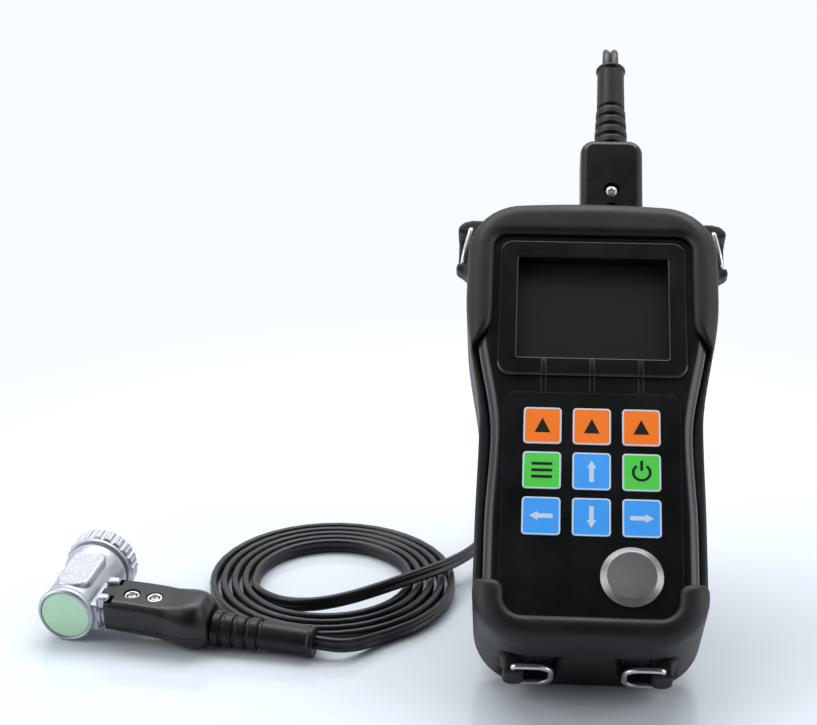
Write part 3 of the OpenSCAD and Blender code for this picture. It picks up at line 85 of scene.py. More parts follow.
# Sizes that several pieces share, in millimetres, as in the part's source
LEAN = math.radians(41.5)
HEEL_R = 4.0
HEEL_LIFT = 0.89 * HEEL_R
BOOT_OUT = 3.9
BOOT_UNDER = 3.1
CASE_LONG = 155.6
CASE_DEEP = 38.7
FRAME_FACE = CASE_DEEP + 1.0
KEY_STEP = (16.2, 16.1)
KEY_MIDDLE = 55.8
KEY_SPOTS = [(KEY_STEP[0] * i, KEY_MIDDLE + KEY_STEP[1] * j) for i in (-1, 0, 1) for j in (-1, 0, 1)]
KEY_R = 1.3
DISC_AT = (12.9, 19.6, CASE_DEEP)
DISC_HOLE_R = 4.06
PLUG_X = 7.1
PLUG_Z = 19.2
PLUG_LONG = 38.6
RELIEF_LONG = 35.8
PROBE_RIM_R = 10.15
KNURL_R = 12.5
KNURL_NEAR = 30.0
PROBE_PLUG_START = 13.6
PROBE_PLUG_LONG = 36.2
PROBE_PLUG_Y = 9.7

TO_WORLD = Matrix.Scale(MM, 4)
TO_GAUGE = (TO_WORLD @ Matrix.Rotation(LEAN, 4, "X")
            @ offset(0, HEEL_LIFT * math.sin(LEAN) + BOOT_OUT - HEEL_R,
                     HEEL_LIFT * math.cos(LEAN) + BOOT_UNDER - HEEL_R))
# Turns that lay a shape's z axis along the y axis or against it
ALONG_Y = rotation("X", -90)
AGAINST_Y = rotation("X", 90)
MIRROR = Matrix.Diagonal((-1, 1, 1, 1))
TO_PLUG = TO_GAUGE @ offset(PLUG_X, CASE_LONG, PLUG_Z) @ ALONG_Y
PROBE_TILT = math.atan((KNURL_R - PROBE_RIM_R) / KNURL_NEAR)
PROBE_AT = Vector((-177.2, 15.2, PROBE_RIM_R * math.cos(PROBE_TILT)))
PROBE_TURN = rotation("Z", -9.5) @ Matrix.Rotation(PROBE_TILT, 4, "X")
TO_PROBE = TO_WORLD @ Matrix.Translation(PROBE_AT) @ PROBE_TURN


# Finishes


class Grain(Enum):
    """How the small relief of a surface lies."""

    SPECKLE = "speckle"
    PITS = "pits"
    TURNED = "turned"


def linear(colour: str, strength: float = 1.0) -> tuple[float, float, float, float]:
    """Turns an sRGB hex colour into linear light.

    Args:
        colour: The colour as six hex digits.
        strength: A factor on the linear values.

    Returns:
        Red, green, blue and an alpha of one.
    """
    parts = [int(colour[i:i + 2], 16) / 255 for i in (0, 2, 4)]
    lit = [p / 12.92 if p <= 0.04045 else ((p + 0.055) / 1.055) ** 2.4 for p in parts]
    return (*[min(1.0, p * strength) for p in lit], 1.0)


def add_node(tree: NodeTree, kind: str, sockets: Optional[dict] = None,
             **settings: object) -> Node:
    """Adds a shader node.

    Args:
        tree: The tree that gets the node.
        kind: The node's type without its common prefix.
        sockets: Input names or numbers, each with a value or with an output to link.
        **settings: Properties of the node.

    Returns:
        The new node.
    """
    node = tree.nodes.new(f"ShaderNode{kind}")
    for name, value in settings.items():
        setattr(node, name, value)
    for name, value in (sockets or {}).items():
        if isinstance(value, NodeSocket):
            tree.links.new(value, node.inputs[name])
        else:
            node.inputs[name].default_value = value
    return node


def new_material(name: str) -> tuple[Material, Node, NodeSocket]:
    """Makes a material and gives it, its main shader and the object's coordinates."""
    made = bpy.data.materials.new(name)
    made.use_nodes = True
    return made, made.node_tree.nodes["Principled BSDF"], add_node(made.node_tree, "TexCoord").outputs["Object"]


COAT_ROUGHNESS = 0.08
LEAST_ROUGHNESS = 0.02
# Noise keeps nearly all of its values between these two
NOISE_SPAN = (0.3, 0.7)
# Rings of a wave texture to one unit of its scale
WAVE_RINGS = 6


@dataclass(frozen=True)
class Finish:
    """A real material and the way its surface was made. Its centre is in metres and its turn in radians."""

    name: str
    colour: str
    roughness: float
    metallic: float = 0.0
    ior: float = 1.5
    coat: float = 0.0
    transmission: float = 0.0
    mottle: float = 0.08
    mottle_mm: float = 14.0
    grain: Grain = Grain.SPECKLE
    grain_mm: float = 0.7
    grain_deep: float = 0.02
    wear: float = 0.05
    centre: Place = (0.0, 0.0, 0.0)
    turn: Place = (0.0, 0.0, 0.0)

    def material(self) -> Material:
        """Makes the material once and returns it."""
        made = bpy.data.materials.get(self.name)
        if made is not None:
            return made
        made, shader, where = new_material(self.name)
        tree = made.node_tree
        laid = add_node(tree, "Mapping", {"Vector": where, "Location": self.centre, "Rotation": self.turn},
                        vector_type="TEXTURE").outputs["Vector"]
        drift = add_node(tree, "TexNoise", {"Vector": where, "Scale": 1 / (self.mottle_mm * MM), "Detail": 4.0})
        tint = add_node(tree, "Mix", {0: drift.outputs["Fac"], 6: linear(self.colour, 1 - self.mottle),
                                      7: linear(self.colour, 1 + self.mottle)}, data_type="RGBA")
        tree.links.new(tint.outputs[2], shader.inputs["Base Color"])
        rub = add_node(tree, "MapRange", {"Value": drift.outputs["Fac"], "From Min": NOISE_SPAN[0],
                                          "From Max": NOISE_SPAN[1],
                                          "To Min": max(LEAST_ROUGHNESS, self.roughness - self.wear),
                                          "To Max": self.roughness + self.wear})
        tree.links.new(rub.outputs["Result"], shader.inputs["Roughness"])
        bump = add_node(tree, "Bump", {"Height": self.relief(tree, laid), "Distance": self.grain_deep * MM})
        tree.links.new(bump.outputs["Normal"], shader.inputs["Normal"])
        plain = {"Metallic": self.metallic, "Coat Weight": self.coat, "Coat Roughness": COAT_ROUGHNESS,
                 "Transmission Weight": self.transmission}
        if self.metallic == 0:
            plain["IOR"] = self.ior
        for socket, value in plain.items():
            shader.inputs[socket].default_value = value
        return made

    def relief(self, tree: NodeTree, laid: NodeSocket) -> NodeSocket:
        """Adds the pattern of the small relief.

        Args:
            tree: The material's tree.
            laid: The coordinates on which the pattern lies.

        Returns:
            The socket that gives its height.
        """
        scale = 1 / (self.grain_mm * MM)
        if self.grain is Grain.TURNED:
            return add_node(tree, "TexWave", {"Vector": laid, "Scale": scale / WAVE_RINGS, "Distortion": 0.4,
                                              "Detail": 1.0}, wave_type="RINGS", rings_direction="Z").outputs["Fac"]
        if self.grain is Grain.PITS:
            return add_node(tree, "TexVoronoi", {"Vector": laid, "Scale": scale}).outputs["Distance"]
        return add_node(tree, "TexNoise", {"Vector": laid, "Scale": scale, "Detail": 3.0}).outputs["Fac"]


# Matte moulded rubber with a fine tooth, which spreads highlights wide
RUBBER = Finish("moulded_black_rubber", "131416", 0.5, ior=1.4, mottle=0.12, grain_mm=0.5, grain_deep=0.03)
# Injection moulded ABS with a smooth semi-gloss skin
CASE_ABS = Finish("moulded_black_abs", "0d0e10", 0.24, grain_mm=0.9, grain_deep=0.008)
# The same ABS painted paler on its edges and fine ribs, as a painted highlight where they catch the light
GLINT_ABS = Finish("painted_highlight_black_abs", "2e3135", 0.3, grain_mm=0.9, grain_deep=0.008)
# The steep sides of the display's frame at its top and sides, matt, and darker as painted shade where the rubber
# opening shades them
SHADED_FRAME_ABS = Finish("painted_shade_matt_abs", "060607", 0.75, ior=1.3, grain_mm=0.4, grain_deep=0.02)
# Screen printed polyester film over the keypad, glossy
PANEL_FILM = Finish("printed_black_film", "0a0b0c", 0.3, ior=1.4, grain_mm=1.6, grain_deep=0.006, mottle=0.05)
# Key caps under the same film, printed from behind
KEY_ORANGE, KEY_GREEN, KEY_BLUE = (
    Finish(f"printed_{name}_key", colour, 0.4, grain_mm=1.4, grain_deep=0.004, mottle=0.04)
    for name, colour in (("orange", "ff7d1c"), ("green", "52d14c"), ("blue", "3fa2ff")))
KEY_LINE = Finish("printed_pale_line", "c9dbec", 0.4, grain_deep=0.004, mottle=0.02)
KEY_MARK = Finish("printed_black_mark", "0c0a09", 0.4, grain_deep=0.004, mottle=0.02)
# Turned stainless steel, lapped flat in the middle
DISC_FLAT = Finish("lapped_stainless_steel", "999998", 0.42, metallic=1.0, mottle=0.03, grain_mm=0.4,
                   grain_deep=0.003, wear=0.04)
DISC_RIM = Finish("turned_stainless_steel", "86888a", 0.33, metallic=0.78, mottle=0.03, grain=Grain.TURNED,
                  grain_mm=0.4, grain_deep=0.012, centre=tuple(TO_GAUGE @ Vector(DISC_AT)), turn=(LEAN, 0.0, 0.0))
# Polished plated steel wire
WIRE = Finish("polished_plated_wire", "dcdddf", 0.2, metallic=0.82, mottle=0.04, grain_mm=1.2, grain_deep=0.006)
# Silver lacquer over a die cast body: half mirror, half pale paint
PROBE_METAL = Finish("silver_lacquered_zinc", "babec6", 0.43, metallic=0.8, mottle=0.04, grain_mm=0.5,
                     grain_deep=0.008)
# Cast texture of the flat land, coarse enough to catch the light in spots
LAND_METAL = Finish("textured_silver_zinc", "c9ccd2", 0.55, metallic=0.45, mottle=0.38, mottle_mm=0.8,
                    grain=Grain.PITS, grain_mm=0.9, grain_deep=0.45)
# Thin pale green label under clear varnish
LABEL = Finish("varnished_green_label", "caf4d2", 0.4, mottle=0.03, grain_deep=0.004)
# Hard moulded nylon of the plug shells
PLUG_NYLON = Finish("moulded_black_nylon", "070708", 0.27, ior=1.42, grain_mm=0.8, grain_deep=0.006)
GRIP_NYLON = Finish("moulded_grip_nylon", "101113", 0.36, grain_mm=0.6, grain_deep=0.02)
# Soft moulded strain relief
RELIEF_RUBBER = Finish("moulded_relief_rubber", "0d0e11", 0.4, ior=1.4, grain_mm=0.6, grain_deep=0.012)
# Extruded jacket of the twin cord
CORD_JACKET = Finish("extruded_black_jacket", "18191c", 0.36, grain_mm=1.5, grain_deep=0.012)
# Screws, eyelets and the panes of the display
SCREW_STEEL = Finish("plated_screw_steel", "c4c6c8", 0.4, metallic=1.0, grain_mm=0.5, grain_deep=0.006)
EYELET = Finish("bright_eyelet", "dddbd7", 0.3, metallic=1.0, grain_mm=0.5, grain_deep=0.004)
SUNK_STEEL = Finish("dull_sunk_screw", "b4b5b6", 0.5, metallic=1.0, grain_mm=0.5, grain_deep=0.006)
PANE = Finish("smoked_acrylic_pane", "1b1d1e", 0.34, transmission=0.1, ior=1.42, mottle=0.01, grain_deep=0.001,
              wear=0.01)
LCD = Finish("reflective_lcd_glass", "2a2c2d", 0.5, mottle=0.02, grain_mm=0.6, grain_deep=0.002, wear=0.01)
# The model's own nodes: seals, cells, boards and the inside of the probe
GASKET = Finish("silicone_gasket", "3a3b3d", 0.6)
CELL_WRAP = Finish("shrunk_cell_wrap", "3f6f9f", 0.3, coat=0.3, grain_deep=0.01)
NICKEL = Finish("nickel_plated_spring_steel", "c4c5c6", 0.25, metallic=1.0)
BOARD = Finish("solder_mask_on_laminate", "1f6b3a", 0.35, grain_mm=0.8, grain_deep=0.02)
CHIP = Finish("moulded_epoxy_chip", "26282b", 0.5)
TIN = Finish("tinned_shield_sheet", "b9bcc0", 0.35, metallic=1.0)
BRASS = Finish("machined_brass", "c2a15a", 0.25, metallic=1.0)
BRACKET = Finish("painted_steel_bracket", "26272a", 0.5, grain_mm=0.8, grain_deep=0.03)
DELAY = Finish("polished_delay_resin", "3b3f44", 0.2, grain_deep=0.004)
CORK = Finish("bonded_cork", "a0713f", 0.8, mottle=0.3, mottle_mm=1.2, grain_mm=0.8, grain_deep=0.08)
CERAMIC = Finish("sintered_ceramic", "d8c9a0", 0.5)
DAMPER = Finish("filled_epoxy", "5a5048", 0.7)


# Mesh helpers


def frozen(bm: BMesh, name: str) -> Mesh:
    """Turns a mesh that is being edited into mesh data and frees it."""
    mesh = bpy.data.meshes.new(name)
    bm.to_mesh(mesh)
    bm.free()
    return mesh


def linked(name: str, data: ID) -> Object:
    """Makes an object of some data and links it to the scene."""
    made = bpy.data.objects.new(name, data)
    bpy.context.scene.collection.objects.link(made)
    return made


def joined(*parts: BMesh) -> BMesh:
    """Puts several meshes into the first one and frees the others."""
    first = parts[0]
    for other in parts[1:]:
        mesh = frozen(other, "joined")
        first.from_mesh(mesh)
        bpy.data.meshes.remove(mesh)
    return first


def moved(bm: BMesh, matrix: Matrix) -> BMesh:
    """Moves a mesh and turns it the right way out again if it was mirrored."""
    bmesh.ops.transform(bm, matrix=matrix, verts=bm.verts)
    if matrix.determinant() < 0:
        bmesh.ops.reverse_faces(bm, faces=bm.faces)
    return bm


def twin(bm: BMesh) -> BMesh:
    """Adds the mirror image across x to a mesh."""
    return joined(bm, moved(bm.copy(), MIRROR))


def closed(bm: BMesh) -> BMesh:
    """Fills a mesh's open edges and turns its faces outwards."""
    bmesh.ops.holes_fill(bm, edges=[e for e in bm.edges if e.is_boundary])
    bmesh.ops.recalc_face_normals(bm, faces=bm.faces)
    return bm


def bevelled(bm: BMesh, edges: Sequence[BMEdge], width: float, segments: int) -> None:
    """Rounds edges of a mesh by a radius."""
    bmesh.ops.bevel(bm, geom=list(edges), offset=width, offset_type="OFFSET", segments=segments, profile=0.5,
                    affect="EDGES", material=-1, clamp_overlap=False, loop_slide=True)


def edges_at(bm: BMesh, level: float, axis: int = 2) -> list[BMEdge]:
    """Finds the edges that lie in a plane across an axis."""
    return [e for e in bm.edges if all(abs(v.co[axis] - level) < NEAR for v in e.verts)]


def edges_along(bm: BMesh, axis: int, least: float) -> list[BMEdge]:
    """Finds the edges that run further than a length along an axis."""
    return [e for e in bm.edges if abs(e.verts[0].co[axis] - e.verts[1].co[axis]) > least]


def rolled(bm: BMesh, z: Point, radii: Point, segments: int) -> BMesh:
    """Rounds the lower and the upper edge of a solid, each by its own radius."""
    for level, radius in zip(z[::-1], radii[::-1]):
        if radius:
            bevelled(bm, edges_at(bm, level), radius, segments)
    return bm


def halved(bm: BMesh, axis: int, level: float, side: int, roll: float = 0.0) -> BMesh:
    """Keeps the part of a solid on one side of a plane.

    Args:
        bm: The solid.
        axis: Number of the axis that the plane lies across.
        level: Where the plane crosses that axis.
        side: 1 to keep what lies past the plane, -1 to keep what lies before it.
        roll: Radius of the rounded edge round the cut.

    Returns:
        The closed mesh.
    """
    at, way = Vector(), Vector()
    at[axis], way[axis] = level, side
    bmesh.ops.bisect_plane(bm, geom=[*bm.verts, *bm.edges, *bm.faces], plane_co=at, plane_no=way, clear_inner=True)
    closed(bm)
    if roll:
        bevelled(bm, edges_at(bm, level, axis), roll, 2)
    return bm


def prism(points: Sequence[Point], low: float, high: float, top: float = 0.0, bottom: float = 0.0,
          segments: int = 6) -> BMesh:
    """Raises an outline into a solid and rounds its ends.

    Args:
        points: The outline, anticlockwise.
        low: Height of the lower end.
        high: Height of the upper end.
        top: Radius of the upper edge.
        bottom: Radius of the lower edge.
        segments: Steps of each rounding.

    Returns:
        The closed mesh.
    """
    bm = bmesh.new()
    base = bm.faces.new([bm.verts.new((x, y, low)) for x, y in points])
    up = bmesh.ops.extrude_face_region(bm, geom=[base])["geom"]
    bmesh.ops.translate(bm, verts=[v for v in up if isinstance(v, BMVert)], vec=(0, 0, high - low))
    bmesh.ops.recalc_face_normals(bm, faces=bm.faces)
    return rolled(bm, (low, high), (bottom, top), segments)


def plate(x: Point, y: Point, z: Point, corner: float = 0.0, top: float = 0.0, bottom: float = 0.0,
          segments: int = 4) -> BMesh:
    """Makes a block with round upright corners and round upper and lower edges.

    Args:
        x: Its two ends along x.
        y: Its two ends along y.
        z: Its two ends along z.
        corner: Radius of the upright corners.
        top: Radius of the upper edge.
        bottom: Radius of the lower edge.
        segments: Steps of each rounding.

    Returns:
        The closed mesh.
    """
    bm = bmesh.new()
    size, middle = ([b - a for a, b in (x, y, z)], [(a + b) / 2 for a, b in (x, y, z)])
    bmesh.ops.create_cube(bm, size=1.0, matrix=offset(*middle) @ Matrix.Diagonal((*size, 1)))
    if corner:
        bevelled(bm, edges_along(bm, 2, size[2] / 2), corner, segments + 2)
    return rolled(bm, z, (bottom, top), segments)


def rod(at: Place, radius: float, length: float, sides: int = 32) -> BMesh:
    """Makes an upright round bar from its lower end."""
    bm = bmesh.new()
    bmesh.ops.create_cone(bm, cap_ends=True, segments=sides, radius1=radius, radius2=radius, depth=length,
                          matrix=offset(*at) @ offset(0, 0, length / 2))
    return bm


def filleted(points: Sequence[Point], radius: float, steps: int = 4) -> list[Point]:
    """Rounds the inner corners of an open line.

    Args:
        points: The corners of the line.
        radius: How far each rounding reaches along its two sides.
        steps: Steps of each rounding.

    Returns:
        The points of the rounded line.
    """
    found = [points[0]]
    for before, at, after in zip(points, points[1:], points[2:]):
        b, p, a = Vector(before), Vector(at), Vector(after)
        reach = min(radius, (b - p).length * 0.45, (a - p).length * 0.45)
        start, end = p + (b - p).normalized() * reach, p + (a - p).normalized() * reach
        for i in range(steps + 1):
            t = i / steps
            found.append(tuple(start * (1 - t) ** 2 + p * 2 * t * (1 - t) + end * t * t))
    return [*found, points[-1]]


def turned(profile: Sequence[Point], sides: int = 72) -> BMesh:
    """Spins a profile of radius and height about the z axis into a closed solid."""
    bm = bmesh.new()
    line = [bm.verts.new((r, 0, z)) for r, z in profile]
    edges = [bm.edges.new(pair) for pair in zip(line, line[1:])]
    bmesh.ops.spin(bm, geom=[*line, *edges], cent=(0, 0, 0), axis=(0, 0, 1), angle=2 * math.pi, steps=sides,
                   use_merge=True)
    bmesh.ops.remove_doubles(bm, verts=bm.verts, dist=NEAR)
    bmesh.ops.recalc_face_normals(bm, faces=bm.faces)
    return bm


def lofted(rings: Sequence[Sequence[Vector]]) -> BMesh:
    """Bridges a row of rings into a tube and closes its two ends."""
    bm = bmesh.new()
    loops = []
    for ring in rings:
        verts = [bm.verts.new(p) for p in ring]
        loops.append([bm.edges.new((verts[i - 1], verts[i])) for i in range(len(verts))])
    ends = [[e.verts[1] for e in loops[0]], [e.verts[1] for e in loops[-1]]]
    for a, b in zip(loops, loops[1:]):
        bmesh.ops.bridge_loops(bm, edges=a + b)
    for end in ends:
        bm.faces.new(end)
    bmesh.ops.recalc_face_normals(bm, faces=bm.faces)
    return bm


def arc(centre: Point, radius: float, start: float, end: float, steps: int = 8) -> list[Point]:
    """Gives points on an arc between two angles in degrees."""
    angles = (math.radians(start + (end - start) * i / steps) for i in range(steps + 1))
    return [(centre[0] + radius * math.cos(a), centre[1] + radius * math.sin(a)) for a in angles]


def rounded(x: Point, y: Point, radius: float) -> list[Point]:
    """Gives the outline of a rectangle with round corners, anticlockwise."""
    (left, right), (low, high) = (x[0] + radius, x[1] - radius), (y[0] + radius, y[1] - radius)
    return [p for corner, a in (((right, low), -90), ((right, high), 0), ((left, high), 90), ((left, low), 180))
            for p in arc(corner, radius, a, a + 90, 6)]


def flared(points: Sequence[Point], low: float, edge: float, radius: float, steps: int = 5) -> BMesh:
    """Makes a cutting solid that leaves a rolled edge round the opening that it cuts.

    Args:
        points: The outline of the opening, anticlockwise.
        low: Height of the solid's lower end.
        edge: Height of the surface that it cuts.
        radius: Radius of the rolled edge.
        steps: Steps of the rounding.

    Returns:
        The closed mesh.
    """
    count = len(points)
    normals = []
    for i in range(count):
        along = Vector(points[(i + 1) % count]) - Vector(points[i - 1])
        normals.append(Vector((along.y, -along.x)).normalized())
    turns = [math.pi / 2 * i / steps for i in range(steps + 1)]
    levels = [(low, 0.0), *[(edge - radius + radius * math.sin(a), radius * (1 - math.cos(a))) for a in turns],
              (edge + 4, radius)]
    return lofted([[Vector((p[0] + n.x * out, p[1] + n.y * out, z)) for p, n in zip(points, normals)]
                   for z, out in levels])


def settled(made: Object, others: Sequence[Object] = ()) -> BMesh:
    """Applies an object's modifiers, removes it and what it used, and returns the mesh.

    Args:
        made: The object with the modifiers.
        others: Passing objects that the modifiers used.

    Returns:
        The finished mesh.
    """
    bpy.context.view_layer.update()
    graph = bpy.context.evaluated_depsgraph_get()
    mesh = bpy.data.meshes.new_from_object(made.evaluated_get(graph), depsgraph=graph)
    bm = bmesh.new()
    bm.from_mesh(mesh)
    bpy.data.meshes.remove(mesh)
    for gone in (made, *others):
        data = gone.data
        bpy.data.objects.remove(gone)
        bpy.data.meshes.remove(data)
    return bm


def combined(base: BMesh, added: Sequence[BMesh] = (),
             cut: Sequence[BMesh] = ()) -> BMesh:
    """Adds solids to a solid and then cuts others out of it.

    Args:
        base: The solid that is changed.
        added: Solids that are joined to it first.
        cut: Solids that are then taken out of it.

    Returns:
        The combined mesh.
    """
    body = linked("body", frozen(base, "body"))
    tools = []
    for operation, solids in (("UNION", added), ("DIFFERENCE", cut)):
        for solid in solids:
            tools.append(linked("tool", frozen(solid, "tool")))
            step = body.modifiers.new("step", "BOOLEAN")
            step.operation, step.object, step.solver = operation, tools[-1], "MANIFOLD"
    bm = settled(body, tools)
    bmesh.ops.remove_doubles(bm, verts=bm.verts, dist=NEAR)
    return bm


def softened(bm: BMesh, voxel: float, rounds: int, kept: float) -> BMesh:
    """Melts a solid's sharp edges, as a rubber mould leaves them.

    Args:
        bm: The solid.
        voxel: Size of the cells that it is rebuilt in.
        rounds: How often its points are smoothed.
        kept: Share of the faces that is kept.

    Returns:
        The rounded mesh.
    """
    body = linked("soft", frozen(bm, "soft"))
    cells = body.modifiers.new("cells", "REMESH")
    cells.mode, cells.voxel_size, cells.adaptivity = "VOXEL", voxel, 0.0
    smooth = body.modifiers.new("smooth", "SMOOTH")
    smooth.factor, smooth.iterations = 0.5, rounds
    thin = body.modifiers.new("thin", "DECIMATE")
    thin.ratio = kept
    return settled(body)


def finished(bm: BMesh, name: str, place: Matrix, finishes: Sequence[Finish],
             replaces: Sequence[str] = (), body: str = "gauge", sharp: float = 35.0,
             weighted: bool = True) -> Object:
    """Brings a mesh into the model's frame as a piece that rides on a body.

    Args:
        bm: The mesh in millimetres.
        name: The piece's name.
        place: The matrix from its own frame to the model's.
        finishes: Its finishes in the order of its faces' numbers.
        replaces: The model's nodes that it stands for.
        body: The body that carries it.
        sharp: The angle in degrees past which an edge stays crisp.
        weighted: Whether flat faces keep flat shading beside rounded edges.

    Returns:
        The piece.
    """
    mesh = frozen(moved(bm, place), name)
    mesh.shade_smooth()
    mesh.set_sharp_from_angle(angle=math.radians(sharp))
    for finish in finishes:
        mesh.materials.append(finish.material())
    made = linked(name, mesh)
    if weighted:
        made.modifiers.new("even", "WEIGHTED_NORMAL").keep_sharp = True
    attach(made, body)
    if replaces:
        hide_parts(*replaces)
    LOG.info("%s: %d faces on %s", name, len(mesh.polygons), body)
    return made


def painted(bm: BMesh, number: int, test: Callable[[Vector, BMFace], bool] = lambda middle, face: True) -> BMesh:
    """Gives the faces whose middle and face pass a test one of the piece's finishes."""
    bm.normal_update()
    for face in bm.faces:
        if test(face.calc_center_median(), face):
            face.material_index = number
    return bm


# Sub-assemblies


def ramp(tree: NodeTree, value: NodeSocket, start: float, end: float, low: float = 0.0,
         high: float = 1.0) -> NodeSocket:
    """Adds a smooth ramp.

    Args:
        tree: The tree that gets the node.
        value: The socket that is followed.
        start: The value at which the ramp begins.
        end: The value at which it ends.
        low: What it gives before its start.
        high: What it gives past its end.

    Returns:
        The ramp's output.
    """
    return add_node(tree, "MapRange", {"Value": value, "From Min": start, "From Max": end, "To Min": low,
                                       "To Max": high}, interpolation_type="SMOOTHSTEP").outputs["Result"]


def arithmetic(tree: NodeTree, one: NodeSocket, other: NodeSocket, operation: str) -> NodeSocket:
    """Adds a node that works on two sockets by an operation."""
    return add_node(tree, "Math", {0: one, 1: other}, operation=operation).outputs[0]


@dataclass
class Studio:
    """Camera, lamps, floor and background. The floor's fade is in metres."""

    eye: Place = (-22.6, -549.4, 325.4)
    tip: float = 68.8
    pan: float = 3.75
    lens: float = 83.7
    sensor: float = 36.0
    white: str = "f8fcff"
    floor_colour: str = "dce3ec"
    floor_shine: Point = (0.04, 0.12)
    fade_at: Place = (-0.04, 0.06, 0.0)
    fade: Point = (0.18, 0.31)
    front_light: float = 0.02
    side_light: float = 0.5
    back_light: float = 0.95
    back_span: Point = (-0.28, 0.35)
    side_span: Point = (0.3, 0.75)
    aim: Place = (0.0, 60.0, 60.0)

    def camera(self) -> None:
        """Places the camera where the photograph was taken from."""
        data = bpy.data.cameras.new("camera")
        data.lens, data.sensor_width = self.lens, self.sensor
        data.clip_start, data.clip_end = 0.01, 20.0
        made = linked("camera", data)
        made.location = Vector(self.eye) * MM
        made.rotation_euler = (math.radians(self.tip), 0, math.radians(self.pan))
        bpy.context.scene.camera = made

    def lamp(self, name: str, at: Place, size: Point, power: float) -> None:
        """Adds a soft rectangular lamp that faces the object.

        Args:
            name: The lamp's name.
            at: Where it hangs, in millimetres.
            size: Its width and height in metres.
            power: Its power in watts.
        """
        data = bpy.data.lights.new(name, "AREA")
        data.shape, data.size, data.size_y, data.energy = "RECTANGLE", *size, power
        made = linked(name, data)
        made.location = Vector(at) * MM
        made.rotation_euler = (Vector(at) - Vector(self.aim)).to_track_quat("Z", "Y").to_euler()

    def background(self) -> None:
        """Makes a world that is white where it is seen and dimmer as a lamp."""
        world = bpy.data.worlds.new("studio")
        bpy.context.scene.world = world
        world.use_nodes = True
        tree = world.node_tree
        ray = add_node(tree, "LightPath")
        seen = arithmetic(tree, ray.outputs["Is Camera Ray"], ray.outputs["Is Transmission Ray"], "MAXIMUM")
        parts = add_node(tree, "SeparateXYZ", {"Vector": add_node(tree, "TexCoord").outputs["Generated"]})
        behind = ramp(tree, parts.outputs["Y"], *self.back_span, self.front_light, self.back_light)
        out = add_node(tree, "Math", {0: parts.outputs["X"]}, operation="ABSOLUTE")
        beside = ramp(tree, out.outputs[0], *self.side_span, self.front_light, self.side_light)
        power = add_node(tree, "Mix", {0: seen, 2: arithmetic(tree, behind, beside, "MAXIMUM"), 3: 1.0})
        back = tree.nodes["Background"]
        back.inputs["Color"].default_value = linear(self.white)
        tree.links.new(power.outputs[0], back.inputs["Strength"])

    def floor(self) -> None:
        """Lays a pale glossy table top under the object."""
        bm = bmesh.new()
        bmesh.ops.create_grid(bm, x_segments=1, y_segments=1, size=4.0)
        made = linked("floor", frozen(bm, "floor"))
        material, shader, where = new_material("glossy_white_acrylic_sheet")
        tree = material.node_tree
        cloud = add_node(tree, "TexNoise", {"Vector": where, "Scale": 6.0, "Detail": 2.0})
        rub = add_node(tree, "MapRange", {"Value": cloud.outputs["Fac"], "To Min": self.floor_shine[0],
                                          "To Max": self.floor_shine[1]})
        shader.inputs["Base Color"].default_value = linear(self.floor_colour)
        tree.links.new(rub.outputs["Result"], shader.inputs["Roughness"])
        away = add_node(tree, "VectorMath", {0: where, 1: self.fade_at}, operation="DISTANCE")
        far = ramp(tree, away.outputs["Value"], *self.fade)
        seen = arithmetic(tree, far, add_node(tree, "LightPath").outputs["Is Camera Ray"], "MULTIPLY")
        white = add_node(tree, "Emission", {"Color": linear(self.white), "Strength": 1.0})
        both = add_node(tree, "MixShader", {0: seen, 1: shader.outputs[0], 2: white.outputs[0]})
        tree.links.new(both.outputs[0], tree.nodes["Material Output"].inputs["Surface"])
        made.data.materials.append(material)

    def build(self) -> None:
        """Sets the whole studio up."""
        self.camera()
        self.background()
        self.floor()
        self.lamp("overhead", (-60, 450, 840), (1.1, 0.5), 7.6)
        self.lamp("left", (-800, -150, 420), (0.5, 0.9), 3.5)
        self.lamp("right", (800, -60, 420), (0.5, 0.9), 3.4)


